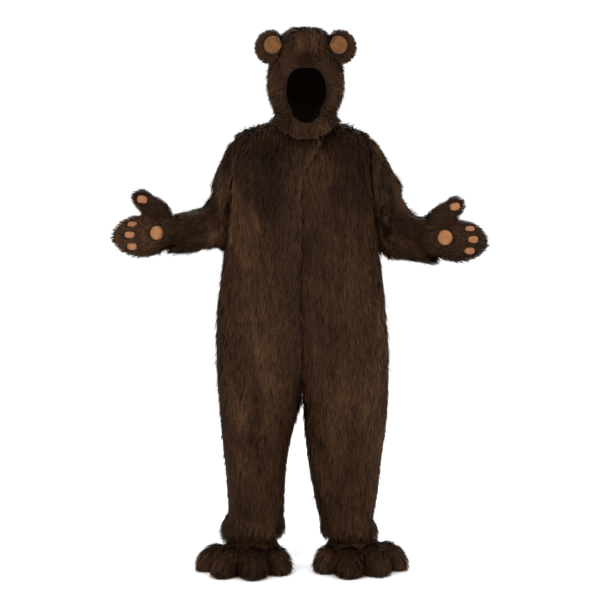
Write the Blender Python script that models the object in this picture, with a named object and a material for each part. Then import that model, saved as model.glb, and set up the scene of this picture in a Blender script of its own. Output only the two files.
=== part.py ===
"""A furry bear costume, worn: jumpsuit, hood with ears, mitts and shoe covers.

Sizes are in metres. Heights are above the soles. The front faces -Y and the wearer's left is +X.
Every piece of fur cloth is a wall as deep as its backing and lying pile together.
"""

import math
from collections import namedtuple

import bmesh
import bpy
from mathutils import Matrix, Vector

HOLD_HEIGHT = 1.44  # the shoulders, where the wearer carries the suit
FUR_WALL = 0.014  # backing and lying pile
SEAM = 0.0004  # space between pieces at a seam
SQUARENESS = 2.3  # exponents of the rounded sections: the jumpsuit, the hood and the shoe covers
HOOD_SQUARENESS = 2.15
COVER_SQUARENESS = 2.4
SIDES = {"right": -1, "left": 1}
FUR_BROWN = "3B2819"
PAD_TAN = "BF8458"
EAR_TAN = "A0683A"
SOLE_BROWN = "2A1C12"
TAPE_BROWN = "24180F"

# The jumpsuit from ankle to armhole: the edges of each leg, which reach past the middle where the
# two halves join, how far the section comes forward and back, and where its middle lies.
Section = namedtuple(
    "Section", "height right_inner right_outer left_inner left_outer front back middle"
)
SECTIONS = [
    Section(0.096, 0.072, 0.258, 0.076, 0.254, 0.095, 0.098, 0.020),
    Section(0.126, 0.054, 0.272, 0.057, 0.251, 0.110, 0.117, 0.016),
    Section(0.162, 0.060, 0.250, 0.060, 0.236, 0.097, 0.106, 0.014),
    Section(0.205, 0.057, 0.247, 0.047, 0.247, 0.104, 0.112, 0.012),
    Section(0.290, 0.054, 0.252, 0.031, 0.256, 0.120, 0.128, 0.008),
    Section(0.375, 0.048, 0.260, 0.016, 0.266, 0.135, 0.142, 0.004),
    Section(0.460, 0.030, 0.268, 0.007, 0.277, 0.150, 0.157, 0.000),
    Section(0.530, 0.009, 0.274, 0.003, 0.284, 0.162, 0.169, 0.000),
    Section(0.560, 0.000, 0.276, 0.000, 0.286, 0.166, 0.174, 0.000),
    Section(0.575, -0.010, 0.277, -0.010, 0.286, 0.169, 0.177, 0.000),
    Section(0.600, -0.034, 0.279, -0.034, 0.287, 0.172, 0.180, 0.000),
    Section(0.645, -0.085, 0.282, -0.085, 0.288, 0.177, 0.184, 0.000),
    Section(0.742, -0.205, 0.286, -0.205, 0.288, 0.184, 0.186, 0.000),
    Section(0.876, -0.282, 0.282, -0.278, 0.278, 0.187, 0.178, 0.000),
    Section(1.050, -0.258, 0.258, -0.258, 0.258, 0.174, 0.170, 0.000),
]
PANEL_HEIGHTS = [
    0.096, 0.112, 0.130, 0.162, 0.205, 0.255, 0.310, 0.365, 0.420, 0.475, 0.520, 0.548,
    0.560, 0.575, 0.600, 0.645, 0.695, 0.745, 0.800, 0.855, 0.910, 0.960, 1.005, 1.050,
]
PANEL_COLUMNS = 12
EDGE_COLUMNS = 3  # the wall turns from square to the closing edge to square to the panel over these
SIDES_OF_SLEEVE = 16
UPPER_ROWS = SIDES_OF_SLEEVE // 2

ARMHOLE_BOTTOM = PANEL_HEIGHTS[-1]
ARMHOLE_DEPTH = 0.105
ARMHOLE_DIP = 0.010
ARMHOLE_SLANT = 0.6  # how far the inner edge of the armhole lies towards the body, against its depth
SHOULDER_TIP = (0.224, 0.0, 1.437)
SHOULDER_NECK = (0.088, 0.0, 1.486)
SHOULDER_CROWN = 0.0045  # how far the shoulder seam rises over a straight line
COLLAR_OVERLAP = (0.065, -0.116, 1.429)  # top of the closing edge, which slants to the wearer's left
COLLAR_LOW = (0.0, -0.128, 1.423)
COLLAR_RIGHT = (-0.062, -0.080, 1.451)
COLLAR_LEFT = (0.084, -0.072, 1.459)
COLLAR_BACK = (0.060, 0.072, 1.477)
BACK_NECK = (0.0, 0.092, 1.467)
# The share of a panel's top edge that is neckline, and how soon the pull of its centre edge fades;
# then the same of the panel that the slanting closing edge makes narrow.
NECKLINE_SHARE, EDGE_FADE = 0.42, 2
NARROW_PANEL = ("left", "front")
NARROW_NECKLINE_SHARE, NARROW_EDGE_FADE = 0.30, 4
ZIP_BOTTOM = 0.70
ZIP_TOP = 1.311
ZIP_HALF_WIDTH = 0.013
ZIP_THICKNESS = 0.002
ZIP_CLEAR = 0.0009
CENTRE_FRONT = [(0.0, -0.168, 1.18), (0.004, -0.154, 1.299)]  # between armhole level and the collar
CENTRE_BACK = [(0.0, 0.160, 1.18), (0.0, 0.142, 1.32)]
# A panel rises from armhole level and turns over to its top edge: how far up it stays upright, and
# how far out and down it is drawn before that edge, at the neck and at the shoulder.
CHEST_CLIMB = 0.66
NECK_DRAW = (0.038, -0.072)
SHOULDER_DRAW = (0.095, -0.015)
SHOULDER_START = 0.45  # the share of a panel's width where the shoulder's draw is reached

# Soft hollows pressed into a panel: from one end to the other, half as wide as stated, and how deep.
Fold = namedtuple("Fold", "panel from_x from_height to_x to_height half_width depth")
FOLDS = [
    Fold("front_right", -0.167, 1.32, -0.150, 0.98, 0.022, 0.008),
    Fold("front_right", -0.105, 1.07, -0.062, 0.78, 0.026, 0.010),
    Fold("front_right", -0.205, 0.54, -0.095, 0.26, 0.030, 0.011),
    Fold("front_right", -0.060, 0.64, -0.190, 0.69, 0.022, 0.008),
    Fold("front_left", 0.144, 1.24, 0.150, 0.88, 0.024, 0.009),
    Fold("front_left", 0.060, 0.64, 0.200, 0.70, 0.022, 0.008),
    Fold("front_left", 0.035, 0.44, 0.135, 0.16, 0.026, 0.010),
    Fold("front_left", 0.130, 0.23, 0.235, 0.17, 0.020, 0.010),
    Fold("back_right", -0.070, 1.30, -0.095, 0.95, 0.026, 0.009),
    Fold("back_right", -0.060, 0.66, -0.210, 0.57, 0.026, 0.012),
    Fold("back_right", -0.200, 0.40, -0.090, 0.22, 0.028, 0.009),
    Fold("back_left", 0.085, 1.28, 0.060, 0.93, 0.026, 0.009),
    Fold("back_left", 0.055, 0.67, 0.200, 0.59, 0.026, 0.012),
    Fold("back_left", 0.090, 0.42, 0.200, 0.20, 0.028, 0.009),
]
FOLD_FADE = (0.15, 0.08)  # the shares of a panel's width and length at its edges where folds fade

# Each sleeve ring after the armhole: the top and bottom of its outline, its middle in depth and
# half its depth.
Ring = namedtuple("Ring", "top_x top_height bottom_x bottom_height middle half_depth")
SLEEVES = {
    "right": [
        Ring(0.261, 1.370, 0.264, 1.052, -0.004, 0.110),
        Ring(0.287, 1.303, 0.281, 1.050, -0.010, 0.108),
        Ring(0.301, 1.243, 0.299, 1.046, -0.018, 0.101),
        Ring(0.312, 1.203, 0.319, 1.043, -0.032, 0.092),
        Ring(0.334, 1.187, 0.344, 1.041, -0.060, 0.081),
        Ring(0.361, 1.182, 0.377, 1.039, -0.088, 0.074),
        Ring(0.389, 1.174, 0.420, 1.041, -0.108, 0.070),
    ],
    "left": [
        Ring(0.272, 1.379, 0.272, 1.036, -0.004, 0.112),
        Ring(0.294, 1.326, 0.293, 1.028, -0.010, 0.110),
        Ring(0.317, 1.268, 0.314, 1.021, -0.018, 0.105),
        Ring(0.336, 1.212, 0.336, 1.016, -0.032, 0.097),
        Ring(0.348, 1.178, 0.357, 1.012, -0.060, 0.088),
        Ring(0.371, 1.174, 0.384, 1.008, -0.088, 0.082),
        Ring(0.397, 1.174, 0.416, 1.003, -0.108, 0.078),
    ],
}

# The hood from the crown down to the neck, then its skirt.
HoodRow = namedtuple("HoodRow", "height half_width front back sinks")
HOOD_MIDDLE = (0.012, 0.015)
HOOD_ROWS = [
    HoodRow(1.785, 0.044, 0.047, 0.057, 1.0),
    HoodRow(1.771, 0.074, 0.081, 0.099, 0.9),
    HoodRow(1.744, 0.098, 0.107, 0.130, 0.6),
    HoodRow(1.704, 0.113, 0.125, 0.148, 0.3),
    HoodRow(1.656, 0.122, 0.134, 0.155, 0.0),
    HoodRow(1.608, 0.123, 0.137, 0.151, 0.0),
    HoodRow(1.562, 0.116, 0.134, 0.138, 0.0),
    HoodRow(1.526, 0.103, 0.128, 0.122, 0.0),
    HoodRow(1.502, 0.095, 0.126, 0.112, 0.0),
]
CROWN = 1.789
SKIRT = HoodRow(1.4854, 0.114, 0.172, 0.106, 0.0)
SKIRT_DROP_FRONT = 0.072
SKIRT_DROP_BACK = 0.030
HOOD_SIDES = 28
CENTRE_STRIP = 0.040  # half the width of the strip over the crown
FACE_MIDDLE = (0.014, 1.553)
FACE_HALF = (0.074, 0.089)
FACE_CUT = (-0.30, 0.0)  # from before the hood to its middle
FACE_TOP_SQUARENESS = 2.7  # the opening is a flat arch over the brow and an egg at the chin
CHIN_NARROWING = 0.16
EAR_MIDDLE = (0.116, -0.060, 1.713)  # the first from the hood's middle
EAR_HALF = (0.060, 0.022, 0.058)
EAR_YAW = math.radians(28)  # its inner edge lies forward, against the front of the hood's side
EAR_DISC = (-0.0147, 0.0045)  # from the ear's middle, outwards and up
EAR_DISC_HALF = (0.0297, 0.0295)
EAR_DISC_THICKNESS = 0.0045
RIM_LEVEL = 0.04  # a round surface is taken to be no steeper than this under a disc or a pad

# A mitt lies along the arm with its palm to the front: fingers outwards, thumb up.
Mitt = namedtuple("Mitt", "wrist radius fingers rise thumb_x thumb_rise")
MITTS = {
    "right": Mitt((-0.385, -0.104, 1.110), 0.0420, 0.222, -0.015, 0.128, 0.101),
    "left": Mitt((0.398, -0.108, 1.088), 0.0632, 0.196, -0.009, 0.093, 0.100),
}
MITT_OPENS_FORWARD = math.radians(8)
HAND_HALF = (0.095, 0.046, 0.069)
THUMB_HALF = (0.034, 0.030, 0.033)
THUMB_TILT = math.radians(12)
THUMB_FORWARD = -0.004
THUMB_ROOT_OFFSET = (-0.038, 0.0, -0.029)  # from the thumb's middle back to the middle of its root
THUMB_ROOT_HALF = (0.068, 0.035, 0.037)
THUMB_ROOT_TILT = math.radians(31)
WRIST_SPAN = (-0.014, 0.066)
WRIST_FLATNESS = 0.76
WRIST_END = 0.054
WRIST_SHARE = 0.25  # how much of the hand's rise its wrist has
MITT_WALL = 0.011
PAD_THICKNESS = 0.006
PAD_SINK = 0.002  # cut away again where the mitt is, which leaves the pad seated on it
# Each pad: along the fingers from the wrist, up from the middle, half its length and half its width.
Pad = namedtuple("Pad", "name along up half_length half_width")
PADS = {
    "right": [
        Pad("palm", 0.089, -0.005, 0.024, 0.024),
        Pad("finger_1", 0.167, 0.023, 0.017, 0.009),
        Pad("finger_2", 0.176, -0.011, 0.018, 0.011),
        Pad("finger_3", 0.168, -0.049, 0.017, 0.012),
    ],
    "left": [
        Pad("palm", 0.069, 0.002, 0.026, 0.026),
        Pad("finger_1", 0.148, 0.031, 0.017, 0.009),
        Pad("finger_2", 0.159, -0.004, 0.018, 0.012),
        Pad("finger_3", 0.147, -0.041, 0.018, 0.012),
    ],
}
THUMB_PAD = (0.017, 0.012)
THUMB_PAD_ALONG = 0.007

# Each shoe cover's upper: height, half its width, and its reach to the toes and to the heel.
CoverRow = namedtuple("CoverRow", "height half_width front back")
COVER_ROWS = [
    CoverRow(0.0065, 0.090, 0.180, 0.096),
    CoverRow(0.030, 0.096, 0.186, 0.102),
    CoverRow(0.054, 0.092, 0.166, 0.098),
    CoverRow(0.075, 0.080, 0.118, 0.087),
    CoverRow(0.091, 0.067, 0.076, 0.074),
    CoverRow(0.112, 0.060, 0.066, 0.068),
    CoverRow(0.142, 0.057, 0.060, 0.064),
]
COVER_SIDES = 20
TOE_CLEAR = 0.0006
TOE_UNDER = 0.022  # how far a toe's round would reach under the floor, where it is flat
SOLE_THICKNESS = 0.006
Foot = namedtuple("Foot", "x y turn")
FEET = {
    "right": Foot(-0.168, 0.0141, math.radians(-9)),
    "left": Foot(0.170, 0.0170, math.radians(7)),
}
# Each toe: its middle on the floor, half its width, half its length, its top and its turn outwards.
Toe = namedtuple("Toe", "x y half_width half_length top turn")
TOES = {
    "right": [
        Toe(-0.086, -0.114, 0.048, 0.078, 0.078, 12),
        Toe(-0.158, -0.158, 0.053, 0.094, 0.088, 2),
        Toe(-0.236, -0.142, 0.052, 0.092, 0.086, -20),
        Toe(-0.276, -0.072, 0.045, 0.086, 0.080, -50),
    ],
    "left": [
        Toe(0.090, -0.092, 0.047, 0.080, 0.080, -14),
        Toe(0.156, -0.146, 0.052, 0.088, 0.086, -4),
        Toe(0.232, -0.126, 0.053, 0.086, 0.090, 16),
        Toe(0.276, -0.064, 0.046, 0.086, 0.086, 46),
    ],
}


def clear_scene():
    for thing in list(bpy.data.objects):
        bpy.data.objects.remove(thing, do_unlink=True)


def linear(hex_colour):
    channels = [int(hex_colour[i : i + 2], 16) / 255 for i in (0, 2, 4)]
    return [c / 12.92 if c <= 0.04045 else ((c + 0.055) / 1.055) ** 2.4 for c in channels]


def cloth_material(name, hex_colour, roughness=0.9):
    material = bpy.data.materials.new(name)
    material.use_nodes = True
    shader = material.node_tree.nodes["Principled BSDF"]
    shader.inputs["Base Color"].default_value = (*linear(hex_colour), 1.0)
    shader.inputs["Roughness"].default_value = roughness
    shader.inputs["Metallic"].default_value = 0.0
    return material


def put(name, bm, wearer, hex_colour=FUR_BROWN, helper=False):
    """An object from the finished mesh, held at the wearer's shoulders.

    Its faces are turned outwards and get fixed diagonals, so that what is seated on it fits.
    """
    bmesh.ops.triangulate(bm, faces=bm.faces[:])
    bmesh.ops.recalc_face_normals(bm, faces=bm.faces[:])
    if bm.calc_volume(signed=True) < 0:
        bmesh.ops.reverse_faces(bm, faces=bm.faces[:])
    mesh = bpy.data.meshes.new(name)
    bm.to_mesh(mesh)
    bm.free()
    mesh.shade_smooth()
    mesh.set_sharp_from_angle(angle=math.radians(50))
    thing = bpy.data.objects.new(name, mesh)
    bpy.context.scene.collection.objects.link(thing)
    thing.parent = wearer
    if helper:
        thing.hide_render = True
        thing.display_type = "WIRE"
    else:
        mesh.materials.append(cloth_material(name, hex_colour))
    return thing


def cut(thing, cutter, operation="DIFFERENCE"):
    step = thing.modifiers.new(f"{operation.title()} {cutter.name}", "BOOLEAN")
    step.operation = operation
    step.solver = "EXACT"
    step.object = cutter


def smooth_value(knots, values, at):
    """The value at a place between knots, on a smooth curve through all of them."""
    last = len(knots) - 1
    k = max(i for i in range(last) if knots[i] <= at or i == 0)

    def slope(i):
        low, high = max(i - 1, 0), min(i + 1, last)
        return (values[high] - values[low]) / (knots[high] - knots[low])

    span = knots[k + 1] - knots[k]
    t = (at - knots[k]) / span
    start, end = slope(k) * span, slope(k + 1) * span
    rise = values[k + 1] - values[k]
    return values[k] + t * start + t * t * (3 * rise - 2 * start - end) + t**3 * (start + end - 2 * rise)


def radius_at(angle, half_width, half_depth, squareness=SQUARENESS):
    """How far a rounded section reaches from its middle in one direction."""
    across = abs(math.cos(angle)) / half_width
    along = abs(math.sin(angle)) / half_depth
    return (across**squareness + along**squareness) ** (-1 / squareness)


def section_at(height):
    knots = [row.height for row in SECTIONS]
    columns = list(zip(*SECTIONS))[1:]
    return Section(height, *(smooth_value(knots, column, height) for column in columns))


def on_section(side, face, height, share, inset):
    """A point of one quarter of the jumpsuit, from the centre or inseam (share 0) to the side seam (1)."""
    row = section_at(height)
    inner = row.right_inner if side == "right" else row.left_inner
    outer = row.right_outer if side == "right" else row.left_outer
    middle = (inner + outer) / 2
    half_width = (outer - inner) / 2 - inset
    depth = (row.front if face == "front" else row.back) - inset
    end = SEAM / 2 / half_width
    start = math.pi - end
    reach = middle - SEAM / 2
    if reach < half_width:
        beside = depth * (1 - (abs(reach) / half_width) ** SQUARENESS) ** (1 / SQUARENESS)
        start = math.atan2(max(beside, SEAM / 2), -reach)
    angle = start + (end - start) * share
    radius = radius_at(angle, half_width, depth)
    y = radius * math.sin(angle) * (-1 if face == "front" else 1)
    return Vector((SIDES[side] * (middle + radius * math.cos(angle)), row.middle + y, height))


def armhole(side, angle, inset=0.0):
    """A point of the armhole's edge, from the shoulder (0) round the front to the underarm (pi)."""
    down = (1 - math.cos(angle)) / 2
    bottom = on_section(side, "front", ARMHOLE_BOTTOM, 1.0, 0.0)
    half_height = (SHOULDER_TIP[2] - ARMHOLE_BOTTOM) / 2
    x = SHOULDER_TIP[0] + (abs(bottom.x) - SHOULDER_TIP[0]) * down - ARMHOLE_DIP * math.sin(angle) ** 2
    point = Vector((x, -ARMHOLE_DEPTH * math.sin(angle), ARMHOLE_BOTTOM + half_height * (1 + math.cos(angle))))
    point += inset * Vector((-ARMHOLE_SLANT, math.sin(angle), -math.cos(angle)))
    return Vector((SIDES[side] * point.x, point.y, point.z))


def along(points, share):
    """A place on the smooth curve through a few points, by share of the way."""
    knots = [i / (len(points) - 1) for i in range(len(points))]
    return Vector(smooth_value(knots, [p[axis] for p in points], share) for axis in range(3))


def centre_edge(side, face, share):
    """The closing edge of the front, or the centre back, from armhole level to the neckline."""
    start = on_section(side, face, ARMHOLE_BOTTOM, 0.0, 0.0)
    if face == "back":
        points = [start, *CENTRE_BACK, BACK_NECK]
    else:
        points = [start, *CENTRE_FRONT, COLLAR_OVERLAP]
    point = along(points, share)
    point.x += SIDES[side] * (SEAM / 2 - (abs(start.x) if share < 1e-6 else 0.0))
    return point


def top_edge(side, face, share):
    """The neckline and then the shoulder seam, from the centre edge (share 0) to the shoulder tip (1)."""
    sign = SIDES[side]
    neck = Vector((sign * SHOULDER_NECK[0], 0.0, SHOULDER_NECK[2]))
    tip = Vector((sign * SHOULDER_TIP[0], 0.0, SHOULDER_TIP[2]))
    start = centre_edge(side, face, 1.0)
    if face == "back":
        neckline = [start, Vector((sign * COLLAR_BACK[0], *COLLAR_BACK[1:])), neck]
    elif side == "left":
        neckline = [start, Vector(COLLAR_LEFT), neck]
    else:
        neckline = [start, Vector(COLLAR_LOW), Vector(COLLAR_RIGHT), neck]
    turn = NARROW_NECKLINE_SHARE if (side, face) == NARROW_PANEL else NECKLINE_SHARE
    if share < turn:
        return along(neckline, share / turn)
    way = (share - turn) / (1 - turn)
    return neck.lerp(tip, way) + Vector((0.0, 0.0, SHOULDER_CROWN * 4 * way * (1 - way)))


def chest_point(side, face, row, column):
    """A point above armhole level: columns run up the chest and over to the shoulder."""
    t = row / UPPER_ROWS
    share = column / (PANEL_COLUMNS - 1)

    def rising(at):
        low = on_section(side, face, ARMHOLE_BOTTOM, at, 0.0)
        high = top_edge(side, face, at)
        climb = (high.z - low.z) * CHEST_CLIMB
        forward, down = Vector(NECK_DRAW).lerp(Vector(SHOULDER_DRAW), min(1.0, at / SHOULDER_START))
        out = -1 if face == "front" else 1
        draw = Vector((0.0, out * forward, down))
        a, b, c, d = low, low + Vector((0, 0, climb)), high + draw, high
        return a * (1 - t) ** 3 + b * 3 * t * (1 - t) ** 2 + c * 3 * t * t * (1 - t) + d * t**3

    turn = math.pi * (1 - t) * (1 if face == "front" else -1)
    point = rising(share)
    fade = NARROW_EDGE_FADE if (side, face) == NARROW_PANEL else EDGE_FADE
    point += (1 - share) ** fade * (centre_edge(side, face, t) - rising(0.0))
    point += share**3 * (armhole(side, turn) - rising(1.0))
    return point


def normals_of(grid):
    """Unit normals of a grid of points, without telling which way they face."""
    rows, columns = len(grid), len(grid[0])
    normals = []
    for r in range(rows):
        line = []
        for c in range(columns):
            up = grid[min(r + 1, rows - 1)][c] - grid[max(r - 1, 0)][c]
            over = grid[r][min(c + 1, columns - 1)] - grid[r][max(c - 1, 0)]
            line.append(up.cross(over).normalized())
        normals.append(line)
    return normals


def fold_depth(name, point, row_share, column_share):
    """How far the folds press a point of a panel inwards, nothing at its seams."""
    total = 0.0
    for fold in FOLDS:
        if fold.panel != name:
            continue
        start = Vector((fold.from_x, fold.from_height))
        path = Vector((fold.to_x, fold.to_height)) - start
        offset = Vector((point.x, point.z)) - start
        share = min(max(offset.dot(path) / path.length_squared, 0.0), 1.0)
        away = (offset - path * share).length / fold.half_width
        total += fold.depth * math.exp(-away * away)
    edge = min(column_share, 1 - column_share) / FOLD_FADE[0]
    end = min(row_share, 1 - row_share) / FOLD_FADE[1]
    return total * min(edge, 1.0) * min(end, 1.0)


def cloth_wall(name, outer, inner, wearer, hex_colour=FUR_BROWN):
    """One cut piece: a grid laid on the outer points, with its copy on the inner ones as the back."""
    columns = len(outer[0])
    bm = bmesh.new()
    bmesh.ops.create_grid(bm, x_segments=columns - 1, y_segments=len(outer) - 1, size=0.5)
    place = bm.verts.layers.int.new("place")
    for index, vert in enumerate(bm.verts):
        vert[place] = index
    made = bmesh.ops.extrude_face_region(bm, geom=bm.faces[:])
    backs = {item for item in made["geom"] if isinstance(item, bmesh.types.BMVert)}
    for vert in bm.verts:
        row, column = divmod(vert[place], columns)
        vert.co = (inner if vert in backs else outer)[row][column]
    return put(name, bm, wearer, hex_colour)


def panel_points(side, face):
    """Outer and inner points of a quarter of the jumpsuit, from ankle to shoulder."""
    columns = range(PANEL_COLUMNS)
    last = PANEL_COLUMNS - 1
    outer = [[on_section(side, face, h, c / last, 0.0) for c in columns] for h in PANEL_HEIGHTS]
    inner = [[on_section(side, face, h, c / last, FUR_WALL) for c in columns] for h in PANEL_HEIGHTS]
    upper = [[chest_point(side, face, r, c) for c in columns] for r in range(1, UPPER_ROWS + 1)]
    outer += upper
    out = -1 if face == "front" else 1
    normals = normals_of(outer)
    for r in range(len(PANEL_HEIGHTS), len(outer)):
        line = []
        for c in columns:
            normal = normals[r][c]
            if normal.dot(outer[r - 1][c] - inner[r - 1][c]) < 0:
                normal = -normal
            if c == 0:
                lower = outer[r - 1][0]
                upper = outer[min(r + 1, len(outer) - 1)][0]
                climb = (upper - lower).normalized()
                normal = Vector((0.0, out, 0.0))
                normal -= climb * normal.dot(climb)
                at_edge = normal.normalized()
            elif c < EDGE_COLUMNS:
                normal = at_edge.lerp(normal, c / EDGE_COLUMNS)
            if r == len(outer) - 1 and abs(outer[r][c].y) < 1e-6:
                normal.y = 0.0
            line.append(outer[r][c] - normal.normalized() * FUR_WALL)
        inner.append(line)
    for upper_row in range(UPPER_ROWS + 1):
        r = len(PANEL_HEIGHTS) - 1 + upper_row
        turn = math.pi * (1 - upper_row / UPPER_ROWS) * -out
        inner[r][last] = armhole(side, turn, FUR_WALL)
        outer[r][last] = armhole(side, turn)
        for grid in (outer, inner):
            grid[r][last] = grid[r][last] - Vector((SIDES[side] * SEAM, 0, 0))
            for point in grid[r]:
                point.y = out * max(out * point.y, SEAM / 2)
    return outer, inner


def fold_panel(name, outer, inner):
    normals = normals_of(outer)
    rows, columns = len(outer), len(outer[0])
    for r in range(rows):
        for c in range(columns):
            depth = fold_depth(name, outer[r][c], r / (rows - 1), c / (columns - 1))
            inwards = normals[r][c]
            if inwards.dot(inner[r][c] - outer[r][c]) < 0:
                inwards = -inwards
            outer[r][c] = outer[r][c] + inwards * depth
            inner[r][c] = inner[r][c] + inwards * depth


def make_jumpsuit(wearer):
    """The four panels from shoulder to ankle, then the zip's tape behind the closing edge."""
    for side in SIDES:
        for face in ("front", "back"):
            name = f"{face}_{side}"
            outer, inner = panel_points(side, face)
            fold_panel(name, outer, inner)
            cloth_wall(name, outer, inner, wearer)
            if name == "front_left":
                behind_left = inner
            if name == "front_right":
                behind_right = inner
    make_zip_tape(behind_right, behind_left, wearer)


def make_zip_tape(behind_right, behind_left, wearer):
    """A flat tape on the panels' own inner points, from below the collar to above the crotch."""
    front, back = [], []
    for height_row in range(len(behind_left)):
        middle = behind_left[height_row][0]
        if not ZIP_BOTTOM < middle.z < ZIP_TOP:
            continue
        edges = []
        for panel in (behind_right, behind_left):
            start, beyond = panel[height_row][0], panel[height_row][1]
            share = ZIP_HALF_WIDTH / abs(beyond.x - start.x)
            edges.append(start.lerp(beyond, share))
        line = [edges[0], (behind_right[height_row][0] + middle) / 2, edges[1]]
        front.append([p + Vector((0, ZIP_CLEAR, 0)) for p in line])
        back.append([p + Vector((0, ZIP_CLEAR + ZIP_THICKNESS, 0)) for p in line])
    cloth_wall("zip_tape", front, back, wearer, TAPE_BROWN)


def make_sleeve(side, wearer):
    """One piece wrapped round the arm, from the armhole to the open cuff, its seam at the underarm."""
    sign = SIDES[side]
    rings = SLEEVES[side]
    tops = [Vector((sign * r.top_x, r.middle, r.top_height)) for r in rings]
    bottoms = [Vector((sign * r.bottom_x, r.middle, r.bottom_height)) for r in rings]
    middles = [(top + bottom) / 2 for top, bottom in zip(tops, bottoms)]
    turns = [math.pi - 2 * math.pi * c / SIDES_OF_SLEEVE for c in range(SIDES_OF_SLEEVE + 1)]
    shift = Vector((sign * SEAM / 2, 0, 0))
    outer = [[armhole(side, turn) + shift for turn in turns]]
    inner = [[armhole(side, turn, FUR_WALL) + shift for turn in turns]]
    for k, ring in enumerate(rings):
        before = middles[k - 1] if k else armhole(side, math.pi / 2)
        after = middles[min(k + 1, len(rings) - 1)]
        forwards = Vector(((after - before).x, 0 if k == 0 else (after - before).y, 0)).normalized()
        rise = (tops[k] - bottoms[k]).normalized()
        across = rise.cross(forwards).normalized() * sign * -1
        half_height = (tops[k] - bottoms[k]).length / 2
        for grid, inset in ((outer, 0.0), (inner, FUR_WALL)):
            grid.append([
                middles[k]
                + rise * (half_height - inset) * math.cos(turn)
                + across * (ring.half_depth - inset) * math.sin(turn)
                for turn in turns
            ])
    for grid in (outer, inner):
        for line in grid:
            line[0] = line[0] + Vector((0, -SEAM / 2, 0))
            line[-1] = line[-1] + Vector((0, SEAM / 2, 0))
    cloth_wall(f"sleeve_{side}", outer, inner, wearer)


def hood_point(row, angle, inset):
    """A point of the hood's form: row 0 is the crown and the last two are the skirt."""
    x, y = HOOD_MIDDLE
    if row == 0:
        return Vector((x, y, CROWN - inset))
    forward = max(0.0, -math.sin(angle))
    backward = max(0.0, math.sin(angle))
    below = row - len(HOOD_ROWS)
    if below <= 0:
        size = HOOD_ROWS[row - 1]
        height = size.height - inset * size.sinks
        half_width, front, back = size.half_width, size.front, size.back
    else:
        share = below / 2
        neck = HOOD_ROWS[-1]
        half_width = neck.half_width + (SKIRT.half_width - neck.half_width) * share
        front = neck.front + (SKIRT.front - neck.front) * share
        back = neck.back + (SKIRT.back - neck.back) * share
        hem = SKIRT.height - SKIRT_DROP_FRONT * forward**3 - SKIRT_DROP_BACK * backward**3
        height = neck.height + (hem - neck.height) * share
    depth = front if math.sin(angle) < 0 else back
    radius = radius_at(angle, half_width - inset, depth - inset, HOOD_SQUARENESS)
    return Vector((x + radius * math.cos(angle), y + radius * math.sin(angle), height))


def hood_form(wearer, name, inset, wall=0.0):
    """The hood's whole dome: closed below as a cutter, or open with a wall."""
    rows = len(HOOD_ROWS) + 3
    bm = bmesh.new()
    bmesh.ops.create_uvsphere(bm, u_segments=HOOD_SIDES, v_segments=rows, radius=1.0)
    place = bm.verts.layers.int.new("place")
    turn = bm.verts.layers.float.new("turn")
    for vert in bm.verts:
        vert[place] = round(math.acos(max(-1.0, min(1.0, vert.co.z))) / math.pi * rows)
        vert[turn] = math.atan2(vert.co.y, vert.co.x)
    backs = set()
    if wall:
        bmesh.ops.delete(bm, geom=[v for v in bm.verts if v[place] == rows], context="VERTS")
        made = bmesh.ops.extrude_face_region(bm, geom=bm.faces[:])
        backs = {item for item in made["geom"] if isinstance(item, bmesh.types.BMVert)}
    for vert in bm.verts:
        if vert[place] == rows:
            vert.co = Vector((*HOOD_MIDDLE, SKIRT.height - SKIRT_DROP_FRONT))
        else:
            vert.co = hood_point(vert[place], vert[turn], inset + (wall if vert in backs else 0.0))
    return put(name, bm, wearer, helper=not wall)


def box_between(low, high):
    bm = bmesh.new()
    size = Vector(high) - Vector(low)
    matrix = Matrix.Translation((Vector(low) + Vector(high)) / 2) @ Matrix.Diagonal((*size, 1.0))
    bmesh.ops.create_cube(bm, size=1.0, matrix=matrix)
    return bm


def face_cutter(wearer):
    """A flat arch over an egg that is narrow at the chin, pushed through the front of the hood."""
    bm = bmesh.new()
    bmesh.ops.create_circle(bm, cap_ends=True, segments=28, radius=1.0)
    for vert in bm.verts:
        squareness = FACE_TOP_SQUARENESS if vert.co.y > 0 else 2.0
        radius = radius_at(math.atan2(vert.co.y, vert.co.x), 1.0, 1.0, squareness)
        across, up = vert.co.x * radius, vert.co.y * radius
        narrow = 1.0 - CHIN_NARROWING * max(0.0, -up)
        x = FACE_MIDDLE[0] + FACE_HALF[0] * across * narrow
        vert.co = Vector((x, FACE_CUT[0], FACE_MIDDLE[1] + FACE_HALF[1] * up))
    made = bmesh.ops.extrude_face_region(bm, geom=bm.faces[:])
    for item in made["geom"]:
        if isinstance(item, bmesh.types.BMVert):
            item.co.y = FACE_CUT[1]
    return put("face_cutter", bm, wearer, helper=True)


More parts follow.
